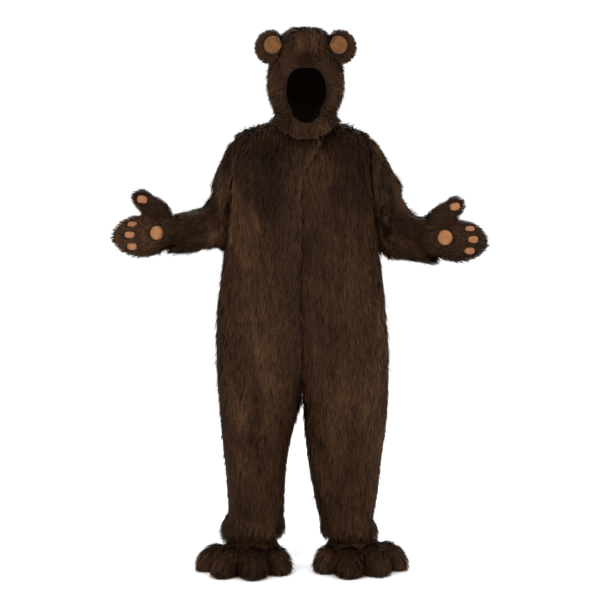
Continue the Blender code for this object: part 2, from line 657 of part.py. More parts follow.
def make_hood(wearer):
    """Two sides and the strip over the crown, cut from one dome, with stuffed ears and their discs."""
    face = face_cutter(wearer)
    middle = HOOD_MIDDLE[0]
    spans = {
        "hood_right": (-1.0, middle - CENTRE_STRIP - SEAM / 2),
        "hood_centre": (middle - CENTRE_STRIP + SEAM / 2, middle + CENTRE_STRIP - SEAM / 2),
        "hood_left": (middle + CENTRE_STRIP + SEAM / 2, 1.0),
    }
    # Under the chin the strip's lower front is a piece of its own.
    below_brow = ((-1, -1, 1), (1, 0, FACE_MIDDLE[1]))
    for name, (low, high) in spans.items():
        piece = hood_form(wearer, name, 0.0, FUR_WALL)
        cut(piece, face)
        keep = put(f"{name}_keep", box_between((low, -1, 1), (high, 1, 2)), wearer, helper=True)
        cut(piece, keep, "INTERSECT")
        if name == "hood_centre":
            cut(piece, put("chin_space", box_between(*below_brow), wearer, helper=True))
    chin = hood_form(wearer, "hood_chin", 0.0, FUR_WALL)
    cut(chin, face)
    low, high = spans["hood_centre"]
    keep = put("chin_keep", box_between((low, -1, 1), (high, 0, FACE_MIDDLE[1])), wearer, helper=True)
    cut(chin, keep, "INTERSECT")
    seat = hood_form(wearer, "hood_seat", -SEAM)
    for side, sign in SIDES.items():
        middle_of_ear = Vector((middle + sign * EAR_MIDDLE[0], EAR_MIDDLE[1], EAR_MIDDLE[2]))
        turn = Matrix.Rotation(sign * EAR_YAW, 4, "Z")
        ear = put(f"ear_{side}", ellipsoid(middle_of_ear, EAR_HALF, 16, 8, turn), wearer)
        cut(ear, seat)
        forwards = turn.to_3x3() @ Vector((0, -1, 0))
        outwards = turn.to_3x3() @ Vector((sign, 0, 0))

        def on_ear(u, v):
            beside, over = EAR_DISC[0] + sign * u, EAR_DISC[1] + v
            level = 1 - (beside / EAR_HALF[0]) ** 2 - (over / EAR_HALF[2]) ** 2
            depth = EAR_HALF[1] * math.sqrt(max(RIM_LEVEL, level))
            return middle_of_ear + outwards * beside + Vector((0, 0, over)) + forwards * depth

        disc = pad_mesh(on_ear, EAR_DISC_HALF, forwards, SEAM, EAR_DISC_THICKNESS)
        made = put(f"ear_inner_{side}", disc, wearer, EAR_TAN)
        cut(made, seat)


def ellipsoid(middle, halves, around, down, turn=None):
    bm = bmesh.new()
    matrix = Matrix.Translation(middle) @ (turn or Matrix.Identity(4)) @ Matrix.Diagonal((*halves, 1.0))
    bmesh.ops.create_uvsphere(bm, u_segments=around, v_segments=down, radius=1.0, matrix=matrix)
    return bm


def pad_mesh(surface, halves, out, low, high):
    """A stuffed oval that follows the surface it is sewn on, from one height over it to another."""
    bm = bmesh.new()
    bmesh.ops.create_uvsphere(bm, u_segments=10, v_segments=5, radius=1.0)
    for vert in bm.verts:
        across, up, rise = vert.co
        vert.co = surface(halves[0] * across, halves[1] * up) + out * (low + (high - low) * (1 + rise) / 2)
    return bm


def make_mitt(side, wearer):
    """Palm and back, cut from one hollow form of hand, thumb and wrist, and the pads on the palm."""
    sign = SIDES[side]
    size = MITTS[side]
    wrist = Vector(size.wrist)
    turn = Matrix.Rotation(-sign * MITT_OPENS_FORWARD, 4, "Z")
    place = Matrix.Translation(wrist) @ turn @ Matrix.Diagonal((sign, 1.0, 1.0, 1.0))

    def form(name, inset):
        """Hand, thumb, thumb's root and wrist as four closed shapes in the mitt's own space."""
        hand_middle = Vector((size.fingers - HAND_HALF[0], 0.0, size.rise))
        along_thumb = Vector((math.cos(THUMB_TILT), 0, math.sin(THUMB_TILT)))
        thumb = Vector((size.thumb_x, THUMB_FORWARD, size.thumb_rise))
        thumb_halves = (THUMB_HALF[0], THUMB_HALF[1] - inset, THUMB_HALF[2] - inset)
        shapes = {
            "hand": ellipsoid(hand_middle, [h - inset for h in HAND_HALF], 16, 10),
            "thumb": ellipsoid(
                thumb - along_thumb * inset, thumb_halves, 12, 7, Matrix.Rotation(-THUMB_TILT, 4, "Y")
            ),
            "root": ellipsoid(
                thumb + Vector(THUMB_ROOT_OFFSET),
                [h - inset for h in THUMB_ROOT_HALF],
                12,
                7,
                Matrix.Rotation(-THUMB_ROOT_TILT, 4, "Y"),
            ),
        }
        tube = bmesh.new()
        low, high = WRIST_SPAN[0] - 2 * abs(inset), WRIST_SPAN[1] + abs(inset)
        bmesh.ops.create_cone(
            tube,
            cap_ends=True,
            segments=14,
            radius1=size.radius - inset,
            radius2=WRIST_END - inset,
            depth=high - low,
            matrix=Matrix.Translation(((low + high) / 2, 0, size.rise * WRIST_SHARE))
            @ Matrix.Diagonal((1.0, WRIST_FLATNESS, 1.0, 1.0))
            @ Matrix.Rotation(math.pi / 2, 4, "Y"),
        )
        shapes["wrist"] = tube
        made = []
        for part, bm in shapes.items():
            bmesh.ops.transform(bm, matrix=place, verts=bm.verts[:])
            made.append(put(f"{name}_{part}", bm, wearer, helper=True))
        return made

    outside = form(f"mitt_{side}_outside", 0.0)
    inside = form(f"mitt_{side}_inside", MITT_WALL)
    halves = {"palm": (-0.2, -SEAM / 2), "back": (SEAM / 2, 0.2)}
    for name, (low, high) in halves.items():
        piece = outside[0].copy()
        piece.data = outside[0].data.copy()
        piece.name = f"mitt_{name}_{side}"
        piece.data.name = piece.name
        piece.hide_render = False
        piece.display_type = "TEXTURED"
        piece.data.materials.append(cloth_material(piece.name, FUR_BROWN))
        bpy.context.scene.collection.objects.link(piece)
        for more in outside[1:]:
            cut(piece, more, "UNION")
        for less in inside:
            cut(piece, less)
        keep = box_between((-0.3, low, -0.3), (0.4, high, 0.3))
        bmesh.ops.transform(keep, matrix=place, verts=keep.verts[:])
        cut(piece, put(f"{piece.name}_keep", keep, wearer, helper=True), "INTERSECT")
    seats = form(f"mitt_{side}_seat", -SEAM)
    make_mitt_pads(side, place, size, seats, wearer)


def make_mitt_pads(side, place, size, seats, wearer):
    """Stuffed ovals on the palm and on the thumb, each cut by the mitt's own form where it lies on it."""
    out = (place.to_3x3() @ Vector((0, -1, 0))).normalized()

    def sew(name, surface, halves):
        bm = pad_mesh(surface, halves, out, -PAD_SINK, PAD_THICKNESS)
        pad = put(name, bm, wearer, PAD_TAN)
        for seat in seats:
            cut(pad, seat)

    hand_x = size.fingers - HAND_HALF[0]
    for pad in PADS[side]:

        def on_palm(u, v):
            x = (pad.along + u - hand_x) / HAND_HALF[0]
            z = (pad.up + v - size.rise) / HAND_HALF[2]
            depth = HAND_HALF[1] * math.sqrt(max(RIM_LEVEL, 1 - x * x - z * z))
            into = min(1.0, (pad.along + u - WRIST_SPAN[0]) / (WRIST_SPAN[1] - WRIST_SPAN[0]))
            wrist = size.radius + (WRIST_END - size.radius) * into
            level = pad.up + v - size.rise * WRIST_SHARE
            if into < 1 and abs(level) < wrist:
                depth = max(depth, WRIST_FLATNESS * math.sqrt(wrist * wrist - level * level))
            return place @ Vector((pad.along + u, -depth, pad.up + v))

        sew(f"pad_{pad.name}_{side}", on_palm, (pad.half_length, pad.half_width))

    tip = Vector((size.thumb_x, THUMB_FORWARD, size.thumb_rise))
    axis = Vector((math.cos(THUMB_TILT), 0, math.sin(THUMB_TILT)))
    beside = Vector((-math.sin(THUMB_TILT), 0, math.cos(THUMB_TILT)))

    def on_thumb(u, v):
        u += THUMB_PAD_ALONG
        level = 1 - (u / THUMB_HALF[0]) ** 2 - (v / THUMB_HALF[2]) ** 2
        depth = THUMB_HALF[1] * math.sqrt(max(RIM_LEVEL, level))
        return place @ (tip + axis * u + beside * v + Vector((0, -depth, 0)))

    sew(f"pad_thumb_{side}", on_thumb, THUMB_PAD)


def cover_point(side, row, angle, inset):
    """A point of a shoe cover's upper, whose heel seam is at angle 0 and toes at pi."""
    foot = FEET[side]
    depth = (row.front if math.cos(angle) < 0 else row.back) - inset
    radius = radius_at(angle, depth, row.half_width - inset, COVER_SQUARENESS)
    forwards, across = radius * math.cos(angle), radius * math.sin(angle)
    turned = Matrix.Rotation(foot.turn, 3, "Z") @ Vector((across, forwards, 0))
    return Vector((foot.x + turned.x, foot.y + turned.y, row.height))


def make_shoe_cover(side, wearer):
    """The upper, its sole and the four stuffed toes in front of it."""
    turns = [2 * math.pi * c / COVER_SIDES for c in range(COVER_SIDES + 1)]
    opening = SEAM / 2 / COVER_ROWS[0].back
    turns[0], turns[-1] = opening, 2 * math.pi - opening
    outer = [[cover_point(side, row, turn, 0.0) for turn in turns] for row in COVER_ROWS]
    inner = [[cover_point(side, row, turn, FUR_WALL) for turn in turns] for row in COVER_ROWS]
    cloth_wall(f"cover_{side}", outer, inner, wearer)

    def outline(outset, heights):
        """A closed form of the upper from the floor to its top, for the sole and for the toes' seats."""
        bm = bmesh.new()
        loops = []
        for row, height in heights:
            points = [cover_point(side, row, 2 * math.pi * c / COVER_SIDES, -outset) for c in range(COVER_SIDES)]
            verts = [bm.verts.new((p.x, p.y, height)) for p in points]
            loops.append([bm.edges.new((a, b)) for a, b in zip(verts, verts[1:] + verts[:1])])
        for lower, upper in zip(loops, loops[1:]):
            bmesh.ops.bridge_loops(bm, edges=lower + upper)
        bmesh.ops.holes_fill(bm, edges=loops[0] + loops[-1])
        return bm

    bottom = COVER_ROWS[0]
    sole = outline(0.0, [(bottom, 0.0), (bottom, SOLE_THICKNESS)])
    put(f"sole_{side}", sole, wearer, SOLE_BROWN)
    rows = [(bottom, -0.02)] + [(row, row.height) for row in COVER_ROWS]
    seat = put(f"toe_seat_{side}", outline(TOE_CLEAR, rows), wearer, helper=True)
    made = []
    for number, toe in enumerate(TOES[side], start=1):
        turn = Matrix.Rotation(math.radians(toe.turn), 4, "Z")
        middle = Vector((toe.x, toe.y, (toe.top - TOE_UNDER) / 2))
        halves = (toe.half_width, toe.half_length, (toe.top + TOE_UNDER) / 2)
        bm = ellipsoid(middle, halves, 12, 8, turn)
        geometry = bm.verts[:] + bm.edges[:] + bm.faces[:]
        made_cut = bmesh.ops.bisect_plane(
            bm, geom=geometry, plane_co=(0, 0, 0), plane_no=(0, 0, -1), clear_outer=True
        )
        rim = [item for item in made_cut["geom_cut"] if isinstance(item, bmesh.types.BMEdge)]
        bmesh.ops.holes_fill(bm, edges=rim)
        piece = put(f"toe_{number}_{side}", bm, wearer)
        cut(piece, seat)
        if made:
            grown = ellipsoid(made[-1][0], [h + SEAM for h in made[-1][1]], 12, 8, made[-1][2])
            cut(piece, put(f"toe_space_{number}_{side}", grown, wearer, helper=True))
        made.append((middle, halves, turn))


def main():
    clear_scene()
    wearer = bpy.data.objects.new("wearer", None)
    bpy.context.scene.collection.objects.link(wearer)
    wearer.location = (0, 0, -HOLD_HEIGHT)
    make_jumpsuit(wearer)
    for side in SIDES:
        make_sleeve(side, wearer)
    make_hood(wearer)
    for side in SIDES:
        make_mitt(side, wearer)
        make_shoe_cover(side, wearer)


main()
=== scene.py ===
import math

import bmesh
import bpy
import numpy as np
from mathutils import Matrix, Vector, kdtree
from mathutils.bvhtree import BVHTree


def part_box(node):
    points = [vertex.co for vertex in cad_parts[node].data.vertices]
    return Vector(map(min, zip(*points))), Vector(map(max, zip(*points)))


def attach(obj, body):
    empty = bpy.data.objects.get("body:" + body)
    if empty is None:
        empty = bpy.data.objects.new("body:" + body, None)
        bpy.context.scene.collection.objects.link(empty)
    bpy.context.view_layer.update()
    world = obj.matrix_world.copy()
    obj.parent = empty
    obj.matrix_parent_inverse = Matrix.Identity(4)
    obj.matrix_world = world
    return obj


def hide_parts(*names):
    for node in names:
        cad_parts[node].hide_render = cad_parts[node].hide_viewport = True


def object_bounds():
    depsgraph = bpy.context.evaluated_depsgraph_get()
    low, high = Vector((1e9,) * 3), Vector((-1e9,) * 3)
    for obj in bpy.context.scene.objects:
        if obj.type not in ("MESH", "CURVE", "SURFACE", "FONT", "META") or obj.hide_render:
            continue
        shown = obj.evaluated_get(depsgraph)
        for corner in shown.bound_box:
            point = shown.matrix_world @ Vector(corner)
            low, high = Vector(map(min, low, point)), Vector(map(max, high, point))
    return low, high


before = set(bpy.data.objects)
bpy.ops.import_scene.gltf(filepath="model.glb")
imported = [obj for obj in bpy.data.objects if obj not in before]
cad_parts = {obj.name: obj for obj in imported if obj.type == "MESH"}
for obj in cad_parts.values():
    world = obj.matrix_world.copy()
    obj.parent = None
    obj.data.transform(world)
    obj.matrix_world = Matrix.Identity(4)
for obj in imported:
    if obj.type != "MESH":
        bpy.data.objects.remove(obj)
cad_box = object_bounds()

# Camera
# At chest height, 4.5 m in front of the costume, as the photograph's perspective says. It looks a
# little down and its lens is shifted a little too, which keeps the costume's upright lines nearly
# upright. The frame is 600 pixels square, and the lens looks along the pixel given here.
FRAME_PIXELS = 600
FOCAL_PIXELS = 1351
MIDDLE_PIXEL = 302
AXIS_PIXEL = 260
LOOKS_DOWN = math.radians(1.74)
EYE = Vector((0.0, -4.5, -0.29))
camera_data = bpy.data.cameras.new("camera")
camera_data.sensor_width = 36.0
camera_data.lens = camera_data.sensor_width * FOCAL_PIXELS / FRAME_PIXELS
camera_data.shift_x = (FRAME_PIXELS / 2 - MIDDLE_PIXEL) / FRAME_PIXELS
camera_data.shift_y = (AXIS_PIXEL - FRAME_PIXELS / 2) / FRAME_PIXELS
camera = bpy.data.objects.new("camera", camera_data)
camera.location = EYE
camera.rotation_euler = (math.radians(90) - LOOKS_DOWN, 0.0, 0.0)
bpy.context.scene.collection.objects.link(camera)
bpy.context.scene.camera = camera

# Fur cloth
# Long-pile fur cloth: modacrylic fibres held in a knitted polyester backing. The pile is drawn as
# tapered locks about two millimetres wide, because single fibres are too fine to show. They lie along
# the nap in small clumps, darker at the root, and each clump has a tone of its own.
PILE_MAP = "OFBake"
BACKING_THICKNESS = 0.0015
UNDER_THE_ROOTS = 0.002  # the cloth lies this far under the places that the locks start from
CLOTH_TROUGHS_WIDER = 1.5
TROUGH_FADES = 3  # half widths out from a trough's line
TROUGH_END, TROUGH_RISE = 0.2, 4  # a trough's depth at its ends, and how fast it deepens from there
SEAM_REACH = 0.002
SHARP = math.radians(60)
THICKEST_WALL = 0.022
CLEAR = 0.00002


def linear(hex_colour):
    """The linear values of an sRGB hex colour, with full alpha."""
    channels = [int(hex_colour[i : i + 2], 16) / 255 for i in (0, 2, 4)]
    return (*(c / 12.92 if c <= 0.04045 else ((c + 0.055) / 1.055) ** 2.4 for c in channels), 1.0)


def add(tree, kind, inputs=None, **settings):
    """A node with its settings, and its inputs as values or as links from other nodes' sockets."""
    made = tree.nodes.new(kind)
    for name, value in settings.items():
        setattr(made, name, value)
    for name, value in (inputs or {}).items():
        if isinstance(value, bpy.types.NodeSocket):
            tree.links.new(value, made.inputs[name])
        else:
            made.inputs[name].default_value = value
    return made


def finish_of(name, roughness, sheen=0.0, specular=0.5, ior=1.5):
    """A material with its shader's plain values set, and its tree and shader for what follows."""
    material = bpy.data.materials.new(name)
    material.use_nodes = True
    tree = material.node_tree
    shader = tree.nodes["Principled BSDF"]
    shader.inputs["Roughness"].default_value = roughness
    shader.inputs["IOR"].default_value = ior
    shader.inputs["Specular IOR Level"].default_value = specular
    shader.inputs["Sheen Weight"].default_value = sheen
    shader.inputs["Sheen Roughness"].default_value = 0.45
    return material, tree, shader


def colours(tree, factor, stops):
    """A ramp through sRGB colours, each at its place from 0 to 1."""
    ramp = add(tree, "ShaderNodeValToRGB", {"Fac": factor})
    while len(ramp.color_ramp.elements) < len(stops):
        ramp.color_ramp.elements.new(1.0)
    for element, (place, hex_colour) in zip(ramp.color_ramp.elements, stops):
        element.position = place
        element.color = linear(hex_colour)
    return ramp.outputs["Color"]


def modacrylic_pile(name, tones, root_share):
    """Fine modacrylic fibre: a soft sheen along the lock, and little light down at its root.

    Its map holds a lock's tone across and the way from root to tip up.
    """
    material, tree, shader = finish_of(name, roughness=0.65, specular=0.05, ior=1.52)
    place = add(tree, "ShaderNodeUVMap", uv_map=PILE_MAP)
    split = add(tree, "ShaderNodeSeparateXYZ", {"Vector": place.outputs["UV"]})
    tone = colours(tree, split.outputs["X"], tones)
    depth = colours(tree, split.outputs["Y"], [(0.0, root_share), (0.55, "C8C8C8"), (1.0, "FFFFFF")])
    mixed = add(tree, "ShaderNodeMix", data_type="RGBA", blend_type="MULTIPLY")
    # Its colour sockets share their names with its number sockets, so they are picked by number.
    mixed.inputs[0].default_value = 1.0
    tree.links.new(tone, mixed.inputs[6])
    tree.links.new(depth, mixed.inputs[7])
    tree.links.new(mixed.outputs[2], shader.inputs["Base Color"])
    return material


brown_pile = modacrylic_pile(
    "modacrylic_pile_brown",
    [(0.0, "170C06"), (0.3, "2D1B0F"), (0.55, "47301E"), (0.8, "63462F"), (1.0, "836344")],
    "747474",
)


def knitted_backing():
    """Dyed polyester knit, matt, with its wales as ribs 4 mm apart, coarser than real ones."""
    material, tree, shader = finish_of("polyester_knit_backing", roughness=0.9, specular=0.08)
    place = add(tree, "ShaderNodeTexCoord").outputs["Object"]
    ribs = add(
        tree, "ShaderNodeTexWave", {"Vector": place, "Scale": 80.0, "Distortion": 3.0, "Detail": 1.0}
    )
    cloud = add(tree, "ShaderNodeTexNoise", {"Vector": place, "Scale": 14.0, "Detail": 3.0})
    tree.links.new(
        colours(tree, cloud.outputs["Fac"], [(0.3, "1A110B"), (0.7, "291B12")]),
        shader.inputs["Base Color"],
    )
    bump = add(
        tree, "ShaderNodeBump", {"Height": ribs.outputs["Fac"], "Strength": 0.35, "Distance": 0.0006}
    )
    tree.links.new(bump.outputs["Normal"], shader.inputs["Normal"])
    return material


backing_knit = knitted_backing()


def merged(node):
    """A copy of a solid's mesh as one connected surface with its quads joined again."""
    bm = bmesh.new()
    bm.from_mesh(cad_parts[node].data)
    bmesh.ops.remove_doubles(bm, verts=bm.verts[:], dist=CLEAR)
    bmesh.ops.join_triangles(
        bm,
        faces=bm.faces[:],
        angle_face_threshold=math.radians(40),
        angle_shape_threshold=math.radians(60),
    )
    bm.normal_update()
    return bm


def outer_skin(node, facing=None):
    """The outer face of a piece's wall: the larger of the two stretches that the wall's edge parts.

    Where both are as large, facing says which way the outer one looks.
    """
    bm = merged(node)
    wall = BVHTree.FromBMesh(bm)
    left = set()
    for face in bm.faces:
        middle = face.calc_center_median()
        across = wall.ray_cast(middle - face.normal * CLEAR, -face.normal)[3]
        if across is not None and across < THICKEST_WALL:
            left.add(face)
    stretches = []
    while left:
        stretch, front = set(), [left.pop()]
        while front:
            face = front.pop()
            stretch.add(face)
            for edge in face.edges:
                if len(edge.link_faces) != 2 or edge.calc_face_angle_signed(0.0) > SHARP:
                    continue
                for other in edge.link_faces:
                    if other in left:
                        left.remove(other)
                        front.append(other)
        stretches.append(stretch)

    def size(stretch):
        return sum(face.calc_area() * (face.normal.dot(facing) if facing else 1.0) for face in stretch)

    skin = max(stretches, key=size)
    bmesh.ops.delete(bm, geom=[f for f in bm.faces if f not in skin], context="FACES")
    return bm


def smoothed(bm, levels):
    """The surface after subdivision, as a new bmesh."""
    mesh = bpy.data.meshes.new("smoothing")
    bm.to_mesh(mesh)
    bm.free()
    thing = bpy.data.objects.new("smoothing", mesh)
    bpy.context.scene.collection.objects.link(thing)
    step = thing.modifiers.new("smooth", "SUBSURF")
    step.levels = step.render_levels = levels
    step.boundary_smooth = "PRESERVE_CORNERS"
    graph = bpy.context.evaluated_depsgraph_get()
    made = bpy.data.meshes.new_from_object(thing.evaluated_get(graph))
    bpy.data.objects.remove(thing, do_unlink=True)
    out = bmesh.new()
    out.from_mesh(made)
    bpy.data.meshes.remove(made)
    out.normal_update()
    return out


def press(bm, creases, wider=1.0):
    """Soft troughs along the creases, each with its two ends, its half width and its depth."""
    for start, end, half_width, depth in creases:
        start = Vector(start)
        path = Vector(end) - start
        for vert in bm.verts:
            offset = Vector((vert.co.x, vert.co.z)) - start
            share = min(max(offset.dot(path) / path.length_squared, 0.0), 1.0)
            away = (offset - path * share).length / (half_width * wider)
            if away < TROUGH_FADES:
                ends = min(1.0, TROUGH_RISE * min(share, 1 - share) + TROUGH_END)
                vert.co -= vert.normal * depth * ends * math.exp(-away * away)
    bm.normal_update()


def sink(bm, depth, seam_x=None):
    """Moves a surface inwards, to where the pile is rooted. An edge sewn at seam_x closes there."""
    bm.normal_update()
    moves = []
    for vert in bm.verts:
        inwards = -vert.normal
        sewn = seam_x is not None and vert.is_boundary and abs(vert.co.x - seam_x) < SEAM_REACH
        if sewn:
            inwards.x = 0.0
            inwards.normalize()
        place = vert.co + inwards * depth
        if sewn:
            place.x = seam_x
        moves.append((vert, place))
    for vert, place in moves:
        vert.co = place
    bm.normal_update()


def worn(name, mesh, material):
    """A finished mesh as a smooth piece that rides with the costume."""
    mesh.materials.append(material)
    mesh.shade_smooth()
    piece = bpy.data.objects.new(name, mesh)
    bpy.context.scene.collection.objects.link(piece)
    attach(piece, "root")
    return piece


def show(name, bm, material):
    """The shape in a bmesh as a piece."""
    mesh = bpy.data.meshes.new(name)
    bm.to_mesh(mesh)
    return worn(name, mesh, material)


def rooting(node, pile, levels, creases=(), facing=None, seam_x=None, wider=1.0):
    """The surface that the pile is rooted in, on the solid's own form."""
    bm = smoothed(outer_skin(node, facing), levels)
    press(bm, creases, wider)
    sink(bm, pile, seam_x)
    return bm


def backing(node, pile, **form):
    """The knitted cloth as a thin wall, a little under the roots, with its troughs drawn wider."""
    bm = rooting(node, pile + UNDER_THE_ROOTS, 1, wider=CLOTH_TROUGHS_WIDER, **form)
    cloth = show(f"{node}_cloth", bm, backing_knit)
    bm.free()
    wall = cloth.modifiers.new("thickness", "SOLIDIFY")
    wall.thickness = BACKING_THICKNESS
    wall.offset = -1.0
    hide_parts(node)
    return cloth


def lock_shape():
    """One lock, a strip of two steps that comes to a point.

    It is given by its corners' sides and their way from root to tip, and its faces.
    """
    bm = bmesh.new()
    bmesh.ops.create_grid(bm, x_segments=1, y_segments=2, size=1.0)
    tip = [vert for vert in bm.verts if vert.co.y > 0.5]
    bmesh.ops.pointmerge(bm, verts=tip, merge_co=(0.0, 1.0, 0.0))
    bm.verts.index_update()
    side = np.array([vert.co.x for vert in bm.verts])
    way = np.array([(vert.co.y + 1) / 2 for vert in bm.verts])
    faces = [[vert.index for vert in face.verts] for face in bm.faces]
    bm.free()
    return side, way, faces


LOCK_SIDE, LOCK_WAY, LOCK_FACES = lock_shape()

# A spread is a standard deviation, in radians for a turn or a roll, and else a share.
LOCK_WIDTH = 0.0024
NARROWEST, WIDTH_SPREAD = 0.6, 0.8  # as shares of that width
LOCKS_IN_CLUMP = 9
NAP_SPREAD = 0.04
SWIRL, SWIRL_LENGTH = 0.22, 0.11  # radians that the nap wanders, in patches so long
TURN_OF_LOCK, TURN_OF_CLUMP = 0.08, 0.12
LENGTH_SPREAD = 0.18
SHORTEST, LONGEST = 0.5, 1.5
LIFT_OF_LOCK, LIFT_OF_CLUMP = 0.25, 0.18
STANDS = 0.7  # radians more lift where a surface faces along the nap
STRAY_LIFT = 1.9
LEAST_LIFT, MOST_LIFT = 0.06, 1.1
PULL = 0.30  # how far a tip leans to its clump's own, at most
ROLL = 0.4
BOW = 0.275  # how far a lock bows up from its straight path, against how far its tip rises
SKIN_SHARE = 0.82  # fine pile takes the light as the surface under it does, more than lock by lock
TONE_MIDDLE, TONE_EDGE = 0.43, 0.03
TONE_OF_LOCK, TONE_OF_CLUMP = 0.035, 0.04
TONE_ACROSS = 0.008  # from a lock's middle to its side
TONE_PATCHES = [  # how strong, how stretched down the piece, the patches' length and their seed
    (0.12, (1, 1, 0.40), 0.13, 7),
    (0.06, (1, 1, 0.20), 0.03, 8),
]
MAP_EDGE = 0.02  # the map's ends that no lock reaches


def waves(points, length, seed):
    """Soft uneven patches about a length across, from -1 to 1: seven waves, each bent by the others."""
    rng = np.random.default_rng(seed)
    total = np.zeros(len(points))
    for step in range(7):
        direction = rng.normal(size=3)
        direction /= np.linalg.norm(direction) * length * (0.7 + 0.12 * step)
        phase = rng.uniform(0, 6.3)
        total += np.sin(2 * np.pi * points @ direction / 1.4 + phase + 1.3 * np.sin(total))
    return total / 4.2


def unit(vectors):
    """The vectors at a length of one."""
    return vectors / np.maximum(np.linalg.norm(vectors, axis=-1, keepdims=True), 1e-9)


def painted_light_and_shade(points, strokes):
    """Painted light and shade on the pile: lighter and darker places laid on in strokes.

    Each stroke has its two ends, its half width and how much lighter it is.
    """
    total = np.zeros(len(points))
    flat = points[:, (0, 2)]
    for start, end, half_width, lighter in strokes:
        path = np.subtract(end, start)
        share = ((flat - start) @ path / (path @ path)).clip(0, 1)
        away = np.linalg.norm(flat - start - share[:, None] * path, axis=1) / half_width
        total += lighter * np.exp(-away * away)
    return total


def scattered(bm, locks, rng):
    """Places spread evenly over a surface, with its normals there."""
    bmesh.ops.triangulate(bm, faces=bm.faces[:])
    bm.normal_update()
    points = np.array([vert.co for vert in bm.verts])
    normals = np.array([vert.normal for vert in bm.verts])
    faces = np.array([[vert.index for vert in face.verts] for face in bm.faces])
    corners = points[faces]
    sides = corners[:, 1:] - corners[:, :1]
    size = np.linalg.norm(np.cross(sides[:, 0], sides[:, 1]), axis=1)
    steps = (np.arange(locks) + rng.random(locks)) / locks
    pick = np.minimum(np.searchsorted(np.cumsum(size) / size.sum(), steps), len(faces) - 1)
    first = np.sqrt(rng.random(locks))
    second = rng.random(locks)
    share = np.stack([1 - first, first * (1 - second), first * second], axis=1)[:, :, None]
    return (corners[pick] * share).sum(1), unit((normals[faces[pick]] * share).sum(1))


def lock_mesh(name, place, shade):
    """The locks as one mesh. Its map holds each one's tone, and the way from root to tip."""
    count, per_lock = place.shape[:2]
    mesh = bpy.data.meshes.new(name)
    mesh.vertices.add(count * per_lock)
    mesh.vertices.foreach_set("co", place.reshape(-1).astype(np.float32))
    corners = np.concatenate(LOCK_FACES)
    sizes = np.array([len(face) for face in LOCK_FACES])
    loops = (corners[None] + np.arange(count)[:, None] * per_lock).reshape(-1)
    mesh.loops.add(len(loops))
    mesh.loops.foreach_set("vertex_index", loops.astype(np.int32))
    mesh.polygons.add(count * len(sizes))
    starts = np.concatenate([[0], np.cumsum(np.tile(sizes, count))[:-1]])
    mesh.polygons.foreach_set("loop_start", starts.astype(np.int32))
    uv = mesh.uv_layers.new(name=PILE_MAP)
    uv_x = (shade[:, None] + TONE_ACROSS * LOCK_SIDE[corners][None]).reshape(-1)
    uv_y = np.tile(MAP_EDGE + (1 - 2 * MAP_EDGE) * LOCK_WAY[corners], count)
    uv.data.foreach_set("uv", np.stack([uv_x, uv_y], axis=1).reshape(-1).astype(np.float32))
    mesh.update()
    mesh.validate()
    return mesh


